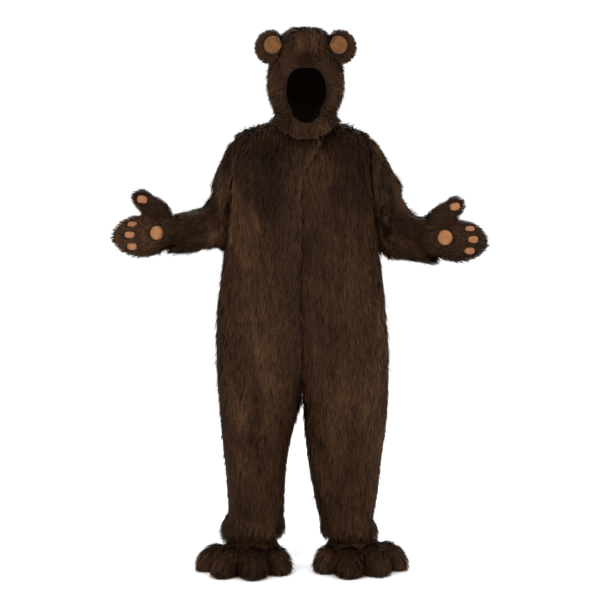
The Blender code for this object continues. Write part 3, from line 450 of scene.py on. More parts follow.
def grow(name, bm, locks, length, lift, nap, seed, strokes=(), keep=None, trim=None, raised=None,
         stray=0.05, floor=None):
    """Locks of pile on a surface, in one mesh.

    nap gives their direction at places on the surface, keep says where they grow, and trim and raised
    change their length and their lift there. stray is the share that stands out. No tip goes under
    the floor.
    """
    rng = np.random.default_rng(seed)
    root, up = scattered(bm, locks, rng)
    if keep is not None:
        kept = keep(root, up)
        root, up = root[kept], up[kept]
    count = len(root)

    # Each lock belongs to the nearest of some chosen locks, whose tip it leans to.
    heads = rng.choice(count, max(1, count // LOCKS_IN_CLUMP), replace=False)
    tree = kdtree.KDTree(len(heads))
    for index, head in enumerate(heads):
        tree.insert(root[head], index)
    tree.balance()
    clump = np.array([tree.find(place)[1] for place in root])

    def of_lock(spread):
        return spread * rng.normal(size=count)

    def of_clump(spread):
        return (spread * rng.normal(size=len(heads)))[clump]

    # Where a surface faces along the nap, as at a finger's end, the pile stands up from it.
    along = unit(nap(root, up) + NAP_SPREAD * rng.normal(size=(count, 3)))
    facing = (along * up).sum(1)
    along = unit(along - up * facing[:, None])
    turn = SWIRL * waves(root, SWIRL_LENGTH, seed + 1) + of_lock(TURN_OF_LOCK)
    turn += of_clump(TURN_OF_CLUMP)
    across = np.cross(up, along)
    along = along * np.cos(turn)[:, None] + across * np.sin(turn)[:, None]
    reach = length * (1 + of_lock(LENGTH_SPREAD)).clip(SHORTEST, LONGEST)
    if trim is not None:
        reach = reach * trim(root)
    rise = 1 + of_lock(LIFT_OF_LOCK)
    rise += of_clump(LIFT_OF_CLUMP)
    rise *= lift
    if raised is not None:
        rise *= raised(up)
    rise += STANDS * facing.clip(0, 1)
    rise = np.where(rng.random(count) < stray, rise * STRAY_LIFT, rise).clip(LEAST_LIFT, MOST_LIFT)
    tip = root + reach[:, None] * (along * np.cos(rise)[:, None] + up * np.sin(rise)[:, None])
    tip += PULL * (tip[heads][clump] - tip) * rng.random(count)[:, None]
    if floor is not None:
        tip[:, 2] = np.maximum(tip[:, 2], floor)

    # A lock bows up from its straight path, tapers to its tip and is rolled a little about its path.
    path = tip - root
    across = unit(np.cross(path, up))
    roll = of_lock(ROLL)[:, None]
    across = across * np.cos(roll) + unit(np.cross(unit(path), across)) * np.sin(roll)
    half = LOCK_WIDTH / 2 * (NARROWEST + WIDTH_SPREAD * rng.random(count))
    way = LOCK_WAY[None, :, None]
    bow = BOW * (reach * np.sin(rise))[:, None, None] * 4 * way * (1 - way)
    place = root[:, None] + path[:, None] * way + up[:, None] * bow
    place += across[:, None] * (half[:, None, None] * LOCK_SIDE[None, :, None] * (1 - way) ** 0.5)

    shade = TONE_MIDDLE + of_lock(TONE_OF_LOCK)
    shade += of_clump(TONE_OF_CLUMP)
    for strength, stretch, patch_length, patch_seed in TONE_PATCHES:
        shade += strength * waves(root * stretch, patch_length, patch_seed)
    # The strokes add painted shade and painted highlights to each lock's tone.
    shade = (shade + painted_light_and_shade(root, strokes)).clip(TONE_EDGE, 1 - TONE_EDGE)
    mesh = lock_mesh(name, place, shade)
    fur = worn(name, mesh, brown_pile)
    looks = unit(SKIN_SHARE * up + (1 - SKIN_SHARE) * unit(np.cross(across, path)))
    mesh.normals_split_custom_set_from_vertices(np.repeat(looks, len(LOCK_WAY), axis=0))
    return fur


# Jumpsuit
# Four panels of fur cloth from the shoulders to the ankles, sewn at the centre back, sides and
# inseams and closed at the centre front by a hidden zip. The nap runs down.
BODY_PILE = 0.010
BODY_LENGTH = 0.038
BODY_LIFT = 0.17
LOCKS_ON_PANEL = 43000
CREASES = {  # a trough's two ends, across and up, its half width and its depth
    "front_right": [
        ((-0.165, -0.10), (-0.150, -0.42), 0.013, 0.007),
        ((-0.130, -0.14), (-0.122, -0.36), 0.010, 0.005),
        ((-0.105, -0.38), (-0.062, -0.66), 0.016, 0.006),
        ((-0.205, -0.92), (-0.095, -1.18), 0.018, 0.008),
        ((-0.030, -0.80), (-0.150, -0.74), 0.014, 0.006),
        ((-0.100, -1.29), (-0.240, -1.24), 0.012, 0.007),
        ((-0.215, -1.31), (-0.120, -1.33), 0.010, 0.006),
    ],
    "front_left": [
        ((0.144, -0.16), (0.150, -0.54), 0.014, 0.007),
        ((0.205, -0.22), (0.190, -0.46), 0.012, 0.005),
        ((0.030, -0.80), (0.150, -0.73), 0.014, 0.006),
        ((0.030, -0.98), (0.130, -1.28), 0.016, 0.007),
        ((0.110, -1.19), (0.235, -1.28), 0.012, 0.007),
        ((0.095, -1.30), (0.190, -1.33), 0.010, 0.006),
    ],
    "back_right": [
        ((-0.070, -0.12), (-0.095, -0.48), 0.014, 0.006),
        ((-0.160, -0.10), (-0.150, -0.40), 0.012, 0.005),
        ((-0.060, -0.77), (-0.210, -0.88), 0.016, 0.008),
        ((-0.200, -1.04), (-0.090, -1.22), 0.014, 0.007),
        ((-0.100, -1.31), (-0.230, -1.26), 0.012, 0.007),
    ],
    "back_left": [
        ((0.085, -0.14), (0.060, -0.50), 0.014, 0.006),
        ((0.165, -0.12), (0.155, -0.38), 0.012, 0.005),
        ((0.055, -0.76), (0.200, -0.86), 0.016, 0.008),
        ((0.090, -1.02), (0.200, -1.24), 0.014, 0.007),
        ((0.095, -1.32), (0.220, -1.27), 0.012, 0.007),
    ],
}
CLOSING_EDGE = [(0.065, -0.011), (0.004, -0.141), (0.0, -0.26), (0.0, -0.80)]
PARTED = 0.012  # the pile leans away from the closing edge this far from it
PARTING = 0.10  # and this strongly, against one downwards
HEM_OF_HOOD = [(-0.088, 0.030), (-0.027, -0.027), (0.012, -0.037), (0.064, -0.029), (0.094, 0.020)]
# The strokes are painted shade (folds, closing edge, hood's hem, chest) and painted highlights.
PAINTED_LIGHT_AND_SHADE = {  # a stroke's two ends, across and up, its half width and how much lighter it is
    "front": [
        *((a, b, 0.0030, -0.40) for a, b in zip(CLOSING_EDGE, CLOSING_EDGE[1:])),
        *((a, b, 0.009, -0.12) for a, b in zip(HEM_OF_HOOD, HEM_OF_HOOD[1:])),
        ((0.056, -0.02), (-0.005, -0.141), 0.005, 0.20),
        ((-0.110, -0.05), (-0.110, -0.27), 0.100, -0.07),
        ((0.120, -0.05), (0.120, -0.27), 0.090, -0.07),
        ((-0.006, -0.141), (-0.008, -0.40), 0.004, 0.14),
        ((-0.084, -0.07), (-0.084, -0.21), 0.042, -0.20),
        ((0.116, -0.17), (0.116, -0.25), 0.034, -0.20),
        ((0.120, -0.235), (0.126, -0.262), 0.010, 0.30),
        ((0.196, -0.06), (0.187, -0.22), 0.030, -0.18),
        ((0.016, -0.33), (0.016, -0.42), 0.024, -0.16),
        ((-0.158, -0.12), (-0.145, -0.30), 0.009, 0.22),
        ((-0.215, -0.07), (-0.228, -0.36), 0.007, 0.16),
        ((0.238, -0.07), (0.241, -0.38), 0.007, 0.16),
        ((-0.210, -0.33), (-0.200, -0.60), 0.050, 0.08),
        ((-0.129, -0.67), (-0.109, -0.80), 0.030, 0.14),
        ((-0.145, -0.81), (-0.158, -0.99), 0.022, -0.18),
        ((-0.183, -0.89), (-0.190, -1.08), 0.030, 0.12),
        ((0.248, -0.55), (0.241, -1.04), 0.026, 0.14),
        ((-0.010, -0.79), (-0.010, -0.87), 0.026, -0.18),
        ((0.090, -0.62), (0.110, -0.76), 0.030, -0.10),
        ((0.170, -0.90), (0.150, -1.15), 0.022, -0.12),
        ((0.140, -0.50), (0.150, -0.70), 0.100, 0.07),
        ((-0.150, -0.90), (-0.155, -1.24), 0.090, 0.09),
        ((0.155, -0.90), (0.165, -1.24), 0.090, 0.12),
    ],
    "back": [
        ((-0.100, -0.10), (-0.090, -0.28), 0.045, -0.16),
        ((0.120, -0.15), (0.120, -0.32), 0.040, -0.14),
        ((0.006, -0.08), (0.004, -0.50), 0.009, 0.14),
        ((0.150, -0.60), (0.140, -0.80), 0.034, 0.14),
        ((-0.150, -0.52), (-0.160, -0.66), 0.034, -0.12),
        ((-0.160, -0.85), (-0.170, -1.05), 0.030, 0.12),
        ((0.170, -0.95), (0.180, -1.15), 0.026, -0.14),
    ],
}
SIDE_SPREAD = 0.3  # how the nap fans out to the sides
OVER_THE_SHOULDER = 0.9
SHOULDER_END, SHOULDER_WIDTH = 0.20, 0.04  # outwards from here the pile is worn short
SHOULDER_TOP, SHOULDER_HEIGHT = -0.06, 0.05  # and upwards from here
SHOULDER_WEAR = 0.40
SHOULDER_LIFT = 0.7
ANKLE_BULGE = {"middle": (-0.262, -1.345), "half": (0.030, 0.045), "longer": 0.60}


def down_the_panel(out):
    """Down, and forwards or backwards from the shoulder seam where the shoulder lies flat.

    In front the pile parts along the closing edge.
    """
    edge = np.array(CLOSING_EDGE[::-1])

    def nap(root, up):
        flat = up[:, 2].clip(0, 1)
        beside = root[:, 0] - np.interp(root[:, 2], edge[:, 1], edge[:, 0])
        parting = PARTING * np.sign(beside) * np.exp(-((beside / PARTED) ** 2)) * (out < 0)
        sideways = SIDE_SPREAD * root[:, 0] + parting
        return np.stack([sideways, OVER_THE_SHOULDER * out * flat, -np.ones(len(root))], axis=1)

    return nap


def panel_length(root):
    """Shorter at the ends of the shoulders, and longer on the outer bulge over the right ankle."""
    outwards = ((abs(root[:, 0]) - SHOULDER_END) / SHOULDER_WIDTH).clip(0, 1)
    upwards = ((root[:, 2] - SHOULDER_TOP) / SHOULDER_HEIGHT).clip(0, 1)
    offset = (root[:, (0, 2)] - ANKLE_BULGE["middle"]) / ANKLE_BULGE["half"]
    bulge = np.exp(-(offset**2).sum(1))
    return 1 - SHOULDER_WEAR * outwards * upwards + ANKLE_BULGE["longer"] * bulge


def panel_lift(up):
    """The pile stands a little higher where the shoulders face up."""
    return 1 + SHOULDER_LIFT * up[:, 2].clip(0, 1)


for number, (panel, creases) in enumerate(CREASES.items()):
    face = panel.split("_")[0]
    nap = down_the_panel(-1 if face == "front" else 1)
    cloth = backing(panel, BODY_PILE, creases=creases, seam_x=0.0)
    skin = rooting(panel, BODY_PILE, 2, creases, seam_x=0.0)
    fur = grow(
        f"{panel}_fur", skin, LOCKS_ON_PANEL, BODY_LENGTH, BODY_LIFT, nap, seed=100 + 10 * number,
        strokes=PAINTED_LIGHT_AND_SHADE[face], trim=panel_length, raised=panel_lift,
    )
    skin.free()

# Sleeves
# One piece each, sewn under the arm and set into the low armhole. The nap runs down the upper arm
# and along the forearm to the cuff.
SLEEVE_LENGTH = 0.9 * BODY_LENGTH
LOCKS_ON_SLEEVE = 19000
ELBOW = (0.265, 0.335)  # where the arm turns from hanging to reaching out
UPPER_ARM_NAP = (0.30, 0.0, -1.0)  # on the left arm; the right one's is its mirror image
FOREARM_NAP = (0.9, -0.45, -0.25)
SHORT_PILE = {  # places, how far round them the pile is worn short, and by what share
    "right": [((-0.338, -0.235), 0.035, 0.45), ((-0.268, -0.388), 0.030, 0.50)],
    "left": [((0.352, -0.225), 0.050, 0.42)],
}
SIDES = {"right": -1, "left": 1}
SLEEVE_CREASES = {  # with columns as in CREASES
    "right": [
        ((-0.262, -0.30), (-0.330, -0.36), 0.012, 0.008),
        ((-0.270, -0.22), (-0.300, -0.30), 0.012, 0.006),
        ((-0.330, -0.28), (-0.345, -0.38), 0.010, 0.005),
        ((-0.298, -0.160), (-0.352, -0.250), 0.022, 0.020),
        ((-0.232, -0.392), (-0.330, -0.414), 0.024, 0.020),
    ],
    "left": [
        ((0.270, -0.31), (0.345, -0.37), 0.012, 0.008),
        ((0.275, -0.20), (0.320, -0.29), 0.012, 0.006),
        ((0.340, -0.28), (0.352, -0.41), 0.010, 0.005),
        ((0.332, -0.170), (0.394, -0.276), 0.022, 0.026),
    ],
}
# The strokes are a painted highlight on the upper arm and painted shade at the armhole and elbow.
SLEEVE_PAINTED_LIGHT_AND_SHADE = {  # with columns as in PAINTED_LIGHT_AND_SHADE
    "right": [
        ((-0.275, -0.12), (-0.290, -0.17), 0.016, 0.26),
        ((-0.238, -0.08), (-0.242, -0.20), 0.012, -0.18),
        ((-0.270, -0.26), (-0.370, -0.34), 0.040, -0.14),
    ],
    "left": [
        ((0.290, -0.12), (0.315, -0.24), 0.022, 0.22),
        ((0.256, -0.10), (0.262, -0.18), 0.013, -0.22),
        ((0.270, -0.28), (0.390, -0.35), 0.040, -0.16),
    ],
}


def down_the_arm(sign):
    """Down the upper arm, and past the elbow along the forearm."""
    mirror = np.array([sign, 1, 1])

    def nap(root, up):
        turn = ((abs(root[:, 0]) - ELBOW[0]) / (ELBOW[1] - ELBOW[0])).clip(0, 1)[:, None]
        turn = turn * turn * (3 - 2 * turn)
        return mirror * UPPER_ARM_NAP * (1 - turn) + mirror * FOREARM_NAP * turn

    return nap


for side, sign in SIDES.items():
    sleeve = f"sleeve_{side}"
    creases = SLEEVE_CREASES[side]

    def sleeve_length(root):
        """Worn short in the sharp folds at the elbow and under the arm."""
        total = np.ones(len(root))
        for middle, reach, share in SHORT_PILE[side]:
            away = np.linalg.norm(root[:, (0, 2)] - middle, axis=1) / reach
            total -= share * np.exp(-away * away)
        return total

    cloth = backing(sleeve, BODY_PILE, creases=creases)
    skin = rooting(sleeve, BODY_PILE, 2, creases)
    fur = grow(
        f"{sleeve}_fur", skin, LOCKS_ON_SLEEVE, SLEEVE_LENGTH, BODY_LIFT, down_the_arm(sign),
        seed=200 + sign, strokes=SLEEVE_PAINTED_LIGHT_AND_SHADE[side], trim=sleeve_length, stray=0.10,
    )
    skin.free()

# Hood
# Two sides and a strip over the crown, with a short piece under the chin, all of the same cloth.
# The pile runs down from the crown and away from the face.
HOOD_PILE = 0.009
HOOD_LENGTH = 0.023
HOOD_LIFT = 0.26
CROWN = Vector((0.012, 0.02, 0.349))
FACE = Vector((0.014, -0.12, 0.113))
FACE_HALF = (0.074, 0.089)
FACE_TOP_SQUARENESS = 2.7
CROWN_SPREAD = 0.5
FACE_REACH = 0.35  # as a share of the opening's size, how far out from it the pile is combed away
FACE_LESS_DOWN, FACE_MORE_OUT = 0.7, 0.9
FACE_SHORT, FACE_RAMP = 0.5, 0.25  # the pile's length at the opening, and how far out it is full
CHEEK_HEIGHT, CHEEK_HALF = 0.137, 0.05
CHEEK_START = 0.09  # across from the face's middle
CHEEK_LONGER = 0.25
HOOD_HEM, HEM_HEIGHT = 0.05, 0.03  # downwards from here the pile is worn short
HEM_WEAR = 0.5
# The strokes are painted highlights over the crown, cheeks and chin, and painted shade above the face.
HOOD_PAINTED_LIGHT_AND_SHADE = [  # with columns as in PAINTED_LIGHT_AND_SHADE
    ((0.012, 0.36), (0.012, 0.05), 0.160, 0.07),
    ((-0.010, 0.31), (0.000, 0.27), 0.018, 0.20),
    ((0.034, 0.31), (0.036, 0.27), 0.014, 0.20),
    ((-0.060, 0.345), (0.080, 0.345), 0.016, 0.30),
    ((0.014, 0.25), (0.018, 0.225), 0.024, -0.30),
    ((-0.088, 0.17), (-0.080, 0.07), 0.018, 0.14),
    ((0.106, 0.18), (0.100, 0.08), 0.020, 0.14),
    ((0.062, 0.02), (0.078, 0.00), 0.014, 0.18),
]
HOOD_PIECES = {
    "hood_right": dict(locks=11000, facing=None, cut=(0.30, 0.42), area=0.095),
    "hood_left": dict(locks=11000, facing=None, cut=(0.30, 0.42), area=0.095),
    "hood_centre": dict(locks=7000, facing=None, cut=(0.09, 0.66), area=0.053),
    "hood_chin": dict(locks=1400, facing=Vector((0, -1, 0.3)), cut=(0.09, 0.08), area=0.0055),
}


def from_face(root):
    """How far a place lies outside the face opening, as a share of its size, and the way out."""
    across = (root[:, 0] - FACE.x) / FACE_HALF[0]
    rise = (root[:, 2] - FACE.z) / FACE_HALF[1]
    power = np.where(rise > 0, FACE_TOP_SQUARENESS, 2.0)
    away = (abs(across) ** power + abs(rise) ** power) ** (1 / power)
    out = unit(np.stack([across, 0 * across, rise], axis=1))
    return np.where(root[:, 1] < 0, away, 9.0), out


def over_the_hood(root, up):
    """Down from the crown, and away from the face beside its opening."""
    spread = root - np.array(CROWN)
    spread[:, 2] = 0.0
    away, out = from_face(root)
    near = np.exp(-((away - 1.0) / FACE_REACH).clip(0, 9))[:, None]
    down = np.array([0.0, 0.0, -1.0]) * (1 - FACE_LESS_DOWN * near)
    return unit(spread) * CROWN_SPREAD + down + out * near * FACE_MORE_OUT


def hood_length(root):
    """Short round the face and at the hem, and long on the cheeks."""
    away, _ = from_face(root)
    clear = ((away - 1.0) / FACE_RAMP).clip(0, 1)
    beside = abs(root[:, 0] - FACE.x) > CHEEK_START
    cheeks = np.exp(-(((root[:, 2] - CHEEK_HEIGHT) / CHEEK_HALF) ** 2)) * beside
    hem = ((HOOD_HEM - root[:, 2]) / HEM_HEIGHT).clip(0, 1)
    full = FACE_SHORT + (1 - FACE_SHORT) * clear + CHEEK_LONGER * cheeks
    return full * (1 - HEM_WEAR * hem)


for number, (piece, size) in enumerate(HOOD_PIECES.items()):
    cloth = backing(piece, HOOD_PILE, facing=size["facing"])
    skin = rooting(piece, HOOD_PILE, 1, facing=size["facing"])
    fur = grow(
        f"{piece}_fur", skin, size["locks"], HOOD_LENGTH, HOOD_LIFT, over_the_hood,
        seed=300 + 10 * number, strokes=HOOD_PAINTED_LIGHT_AND_SHADE, trim=hood_length, stray=0.14,
    )
    skin.free()

# Ears
# Stuffed rounds of fur cloth sewn to the hood's sides, turned forwards, with a felt disc on each. The
# pile stands out from the disc's middle.
EAR_PILE = 0.006
EAR_LENGTH = 0.017
EAR_LIFT = 0.32
LOCKS_ON_EAR = 3800
EAR_YAW = math.radians(28)
EAR_SLIMMER = 0.84  # the stuffed round's size against the ear's with its pile
EAR_DISC_HALF = (0.0297, 0.0295)
ROUND_THE_DISC = 1.02  # the pile starts where the square of the way out passes this
DISC_PROUD = 0.002
DISC_SUNK = 0.002
LESS_FORWARDS = 0.8  # the share of the nap's way to the front or the back that is taken off
FELT_TUFTS = 700.0  # to a metre, 1.4 mm across
HOOD_TOP = {"middle": (0.012, 0.02, 0.20), "half": (0.125, 0.14, 0.152), "squareness": 2.5}


def stuffed(name, node, pile, levels=1):
    """A stuffed form on the solid's own, with room left for the pile."""
    bm = smoothed(merged(node), levels)
    sink(bm, pile)
    form = show(name, bm, backing_knit)
    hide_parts(node)
    return form, bm


def short_nap(name, low, high, tufts):
    """Polyester felt or plush: a matt tan face with a soft bloom, cloudy where its nap is combed.

    Its tufts are drawn more than a millimetre across, coarser than real ones, so that they show.
    """
    material, tree, shader = finish_of(name, roughness=0.85, sheen=0.07, specular=0.15)
    place = add(tree, "ShaderNodeTexCoord").outputs["Object"]
    cloud = add(
        tree, "ShaderNodeTexNoise", {"Vector": place, "Scale": 60.0, "Detail": 4.0, "Roughness": 0.6}
    )
    fibres = add(tree, "ShaderNodeTexNoise", {"Vector": place, "Scale": tufts, "Detail": 3.0})
    tree.links.new(
        colours(tree, cloud.outputs["Fac"], [(0.3, low), (0.7, high)]), shader.inputs["Base Color"]
    )
    bump = add(
        tree, "ShaderNodeBump", {"Height": fibres.outputs["Fac"], "Strength": 0.5, "Distance": 0.0008}
    )
    tree.links.new(bump.outputs["Normal"], shader.inputs["Normal"])
    return material


DOME_EDGE = 0.45  # under 1, the top is flat and its edge round


def domed_patch(name, node, tree, half, across, forwards, sunk, proud, squareness, material):
    """A stuffed oval on a furry surface: from the backing up to a soft flat top with a rounded edge."""
    low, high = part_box(node)
    middle = (low + high) / 2
    rising = forwards.cross(across)
    beyond = tree.ray_cast(middle + forwards, -forwards)[0]
    bm = bmesh.new()
    bmesh.ops.create_uvsphere(bm, u_segments=32, v_segments=14, radius=1.0)
    for vert in bm.verts:
        u, v, lift = vert.co
        level = math.hypot(u, v)
        if level > 1e-6:
            angle = math.atan2(v, u)
            powers = abs(math.cos(angle)) ** squareness + abs(math.sin(angle)) ** squareness
            wide = level**DOME_EDGE * powers ** (-1 / squareness) / level
            u, v = u * wide, v * wide
        offset = across * (u * half[0]) + rising * (v * half[1])
        place = tree.ray_cast(middle + offset + forwards, -forwards)[0] or beyond + offset
        vert.co = place + forwards * (lift * proud if lift > 0 else lift * sunk)
    bmesh.ops.recalc_face_normals(bm, faces=bm.faces[:])
    patch = show(name, bm, material)
    bm.free()
    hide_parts(node)
    return patch


ear_felt = short_nap("polyester_felt_ear", "4C2D16", "61401F", FELT_TUFTS)

for side, sign in SIDES.items():
    ear = f"ear_{side}"
    low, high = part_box(ear)
    centre = (low + high) / 2
    disc_low, disc_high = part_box(f"ear_inner_{side}")
    disc = (disc_low + disc_high) / 2
    turn = Matrix.Rotation(sign * EAR_YAW, 3, "Z")
    across = turn @ Vector((1, 0, 0))
    forwards = turn @ Vector((0, -1, 0))

    def outwards(root, up):
        """Away from the disc's middle all round, and only a little forwards or back."""
        away = root - np.array(disc)
        return unit(away - LESS_FORWARDS * (away @ forwards)[:, None] * np.array(forwards))

    def off_the_disc(root, up):
        """Clear of the felt, and outside the hood."""
        away = root - np.array(disc)
        beside, over = away @ across / EAR_DISC_HALF[0], away[:, 2] / EAR_DISC_HALF[1]
        in_front = up @ forwards > 0
        way = abs(root - HOOD_TOP["middle"]) / HOOD_TOP["half"]
        inside_hood = (way ** HOOD_TOP["squareness"]).sum(axis=1) < 1
        return ~(in_front & (beside**2 + over**2 < ROUND_THE_DISC)) & ~inside_hood

    form, bm = stuffed(f"{ear}_stuffed", ear, EAR_PILE)
    space = Matrix.Rotation(-sign * EAR_YAW, 4, "Z") @ Matrix.Translation(-centre)
    bmesh.ops.scale(bm, vec=(EAR_SLIMMER, 1.0, EAR_SLIMMER), space=space, verts=bm.verts[:])
    bm.to_mesh(form.data)
    front = BVHTree.FromBMesh(bm)
    grow(
        f"{ear}_fur", bm, LOCKS_ON_EAR, EAR_LENGTH, EAR_LIFT, outwards, seed=400 + sign,
        keep=off_the_disc, stray=0.12,
    )
    bm.free()
    domed_patch(
        f"ear_inner_{side}_felt", f"ear_inner_{side}", front, EAR_DISC_HALF, across, forwards,
        sunk=DISC_SUNK, proud=EAR_PILE + DISC_PROUD, squareness=2.0, material=ear_felt,
    )

# Mitts
# Palm and back of fur cloth, each with half the thumb. The palm's pile is short, and five stuffed
# tan pads are sewn on it: one on the palm, three for the fingers and one on the thumb.
MITT_PILE = {"palm": 0.005, "back": 0.006}
MITT_LENGTH = {"palm": 0.013, "back": 0.022}
MITT_LIFT = 0.34
LOCKS_ON_MITT = 4200
MITT_FACING = {"palm": Vector((0, -1, 0)), "back": Vector((0, 1, 0))}
PAD_PROUD = 0.003  # over the palm's pile
PAD_SUNK = 0.001
PAD_CLEAR = 0.001  # round a pad, without pile
PAD_SQUARENESS = {"palm": 2.0, "thumb": 2.6, "finger_1": 2.8, "finger_2": 2.8, "finger_3": 2.8}
THUMB_PAD_HALF = (0.0175, 0.0125)
THUMB_TILT = math.radians(12)
ROOT_TILT = math.radians(32)  # the way the thumb's root rises from the cuff
FINGER_DROOP = 0.12
THUMB_START, THUMB_BLEND = 0.050, 0.03  # how far under the thumb's pad the nap starts to turn up it
PLUSH_TUFTS = 900.0  # to a metre, 1.1 mm across
plush = short_nap("polyester_plush_pad", "6E472B", "8A5D3D", PLUSH_TUFTS)

for side, sign in SIDES.items():
    pads = {}
    for pad in PAD_SQUARENESS:
        low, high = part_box(f"pad_{pad}_{side}")
        half = (high - low) / 2
        flat_half = THUMB_PAD_HALF if pad == "thumb" else (half.x, half.z)
        pads[pad] = ((low + high) / 2, flat_half)
    thumb = pads["thumb"][0]

    def along_the_hand(root, up):
        """Along the fingers, and up the thumb where it stands away from the hand."""
        on_thumb = ((root[:, 2] - (thumb.z - THUMB_START)) / THUMB_BLEND).clip(0, 1)[:, None]
        fingers = np.array([sign * 1.0, 0.0, -FINGER_DROOP])
        up_thumb = np.array([sign * math.cos(ROOT_TILT), 0.0, math.sin(ROOT_TILT)])
        return fingers * (1 - on_thumb) + up_thumb * on_thumb

    def off_the_pads(root, up):
        """Clear of all five pads."""
        free = np.ones(len(root), bool)
        for middle, half in pads.values():
            across = (root[:, 0] - middle.x) / (half[0] + PAD_CLEAR)
            rise = (root[:, 2] - middle.z) / (half[1] + PAD_CLEAR)
            free &= across**2 + rise**2 > 1.0
        return free

    for face in MITT_PILE:
        node = f"mitt_{face}_{side}"
        facing = MITT_FACING[face]
        cloth = backing(node, MITT_PILE[face], facing=facing)
        skin = rooting(node, MITT_PILE[face], 1, facing=facing)
        if face == "palm":
            palm = BVHTree.FromBMesh(skin)
        fur = grow(
            f"{node}_fur", skin, LOCKS_ON_MITT, MITT_LENGTH[face], MITT_LIFT, along_the_hand,
            seed=500 + sign, keep=off_the_pads if face == "palm" else None, stray=0.10,
        )
        skin.free()
    for pad, squareness in PAD_SQUARENESS.items():
        middle, half = pads[pad]
        across = Vector((1, 0, 0))
        if pad == "thumb":
            across = Vector((math.cos(THUMB_TILT), 0, sign * math.sin(THUMB_TILT)))
        domed_patch(
            f"pad_{pad}_{side}_plush", f"pad_{pad}_{side}", palm, half, across, Vector((0, -1, 0)),
            sunk=PAD_SUNK, proud=MITT_PILE["palm"] + PAD_PROUD, squareness=squareness,
            material=plush,
        )

# Shoe covers
# An upper of fur cloth open at the ankle, a cloth sole, and four stuffed toes sewn round the front.
# The pile runs forwards and down over the toes.
COVER_PILE = 0.009
COVER_LENGTH = 0.025
COVER_LIFT = 0.2
LOCKS_ON_COVER = 7000
TOE_PILE = 0.006
TOE_LENGTH = 0.030
TOE_LIFT = 0.25
LOCKS_ON_TOE = 2600
LOWEST_TIP = -1.4395
FOOT_SPREAD = 0.8
FOOT_NAP = (0.0, -0.25, -1.3)
FOOT_MIDDLE = {"right": Vector((-0.168, 0.0, -1.44)), "left": Vector((0.170, 0.0, -1.44))}

for side, sign in SIDES.items():
    middle = FOOT_MIDDLE[side]

    def over_the_foot(root, up):
        """Down, and outwards from the foot's middle, most of all to the front."""
        away = root - np.array(middle)
        away[:, 2] = 0.0
        return unit(away) * FOOT_SPREAD + FOOT_NAP

    cover = f"cover_{side}"
    cloth = backing(cover, COVER_PILE)
    skin = rooting(cover, COVER_PILE, 2)
    fur = grow(
        f"{cover}_fur", skin, LOCKS_ON_COVER, COVER_LENGTH, COVER_LIFT, over_the_foot,
        seed=600 + sign, floor=LOWEST_TIP,
    )
    skin.free()
    for number in range(1, 5):
        toe = f"toe_{number}_{side}"
        form, bm = stuffed(f"{toe}_stuffed", toe, TOE_PILE)
        grow(
            f"{toe}_fur", bm, LOCKS_ON_TOE, TOE_LENGTH, TOE_LIFT, over_the_foot,
            seed=610 + 10 * number + sign, floor=LOWEST_TIP,
        )
        bm.free()

# Soles and zip tape
# The soles are dyed polyester canvas, glued flat. The zip's tape is a narrow polyester twill, sewn
# behind the closing edge where it doesn't show.
CANVAS_THREAD = 0.0012
TWILL_THREAD = 0.0008


def woven(name, thread, low, high, turn):
    """Matt woven polyester: two sets of threads cross, and each shows as a ridge."""
    material, tree, shader = finish_of(name, roughness=0.85, specular=0.2)
    place = add(tree, "ShaderNodeTexCoord").outputs["Object"]
    turned = add(tree, "ShaderNodeMapping", {"Vector": place, "Rotation": (0.0, 0.0, turn)})
    scale = math.pi / (10 * thread)  # a wave texture's bands lie pi / 10 over the scale apart
    threads = {"Vector": turned.outputs["Vector"], "Scale": scale, "Distortion": 0.4}
    warp = add(tree, "ShaderNodeTexWave", threads, bands_direction="X").outputs["Fac"]
    weft = add(tree, "ShaderNodeTexWave", threads, bands_direction="Y").outputs["Fac"]
    both = add(tree, "ShaderNodeMath", {0: warp, 1: weft}, operation="MULTIPLY").outputs["Value"]
    tree.links.new(colours(tree, both, [(0.0, low), (1.0, high)]), shader.inputs["Base Color"])
    bump = add(tree, "ShaderNodeBump", {"Height": both, "Strength": 0.4, "Distance": thread / 3})
    tree.links.new(bump.outputs["Normal"], shader.inputs["Normal"])
    return material


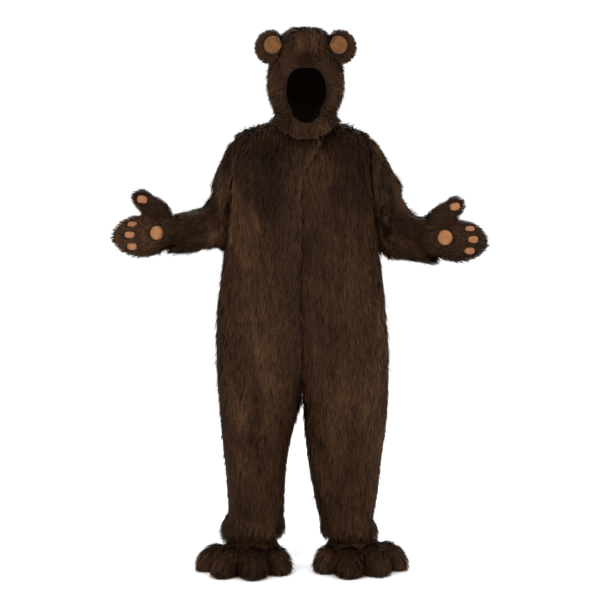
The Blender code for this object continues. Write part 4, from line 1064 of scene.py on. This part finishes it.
canvas = woven("polyester_canvas_sole", CANVAS_THREAD, "20150E", "3A281B", turn=0.0)
twill = woven("polyester_twill_tape", TWILL_THREAD, "1A110B", "2C1D13", turn=math.radians(45))
for side in SIDES:
    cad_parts[f"sole_{side}"].material_slots[0].material = canvas
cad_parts["zip_tape"].material_slots[0].material = twill

# Floor, light and world
# A pale painted floor level with the soles, which runs on behind the costume past the frame, under a
# white world and three soft boxes, as in a studio.
FLOOR_HALF = 14.0
FLOOR_MIDDLE = (0, 6, cad_box[0][2])
WORLD_STRENGTH = 1.15
bm = bmesh.new()
middle = Matrix.Translation(FLOOR_MIDDLE)
bmesh.ops.create_grid(bm, x_segments=1, y_segments=1, size=FLOOR_HALF, matrix=middle)
floor_mesh = bpy.data.meshes.new("floor")
bm.to_mesh(floor_mesh)
bm.free()
floor = bpy.data.objects.new("floor", floor_mesh)
bpy.context.scene.collection.objects.link(floor)
floor_paint, _, floor_shader = finish_of("painted_studio_floor", roughness=0.7)
floor_shader.inputs["Base Color"].default_value = linear("F4F4F4")
floor_mesh.materials.append(floor_paint)

world = bpy.data.worlds.new("studio")
bpy.context.scene.world = world
world.use_nodes = True
world.node_tree.nodes["Background"].inputs["Color"].default_value = (1, 1, 1, 1)
world.node_tree.nodes["Background"].inputs["Strength"].default_value = WORLD_STRENGTH


def soft_box(name, place, aim, size, power):
    """A square light in metres and watts, turned to a place on the costume."""
    light = bpy.data.lights.new(name, "AREA")
    light.shape = "SQUARE"
    light.size = size
    light.energy = power
    thing = bpy.data.objects.new(name, light)
    thing.location = place
    thing.rotation_euler = (Vector(aim) - Vector(place)).to_track_quat("-Z", "Y").to_euler()
    bpy.context.scene.collection.objects.link(thing)


soft_box("key", (-2.2, -3.2, 1.6), aim=(0, 0, -0.5), size=1.8, power=120)
soft_box("fill", (2.6, -2.6, 0.9), aim=(0, 0, -0.6), size=1.8, power=70)
soft_box("back_light", (0.0, 2.6, 2.2), aim=(0, 0, -0.2), size=2.0, power=90)
bpy.context.scene.view_settings.view_transform = "Standard"
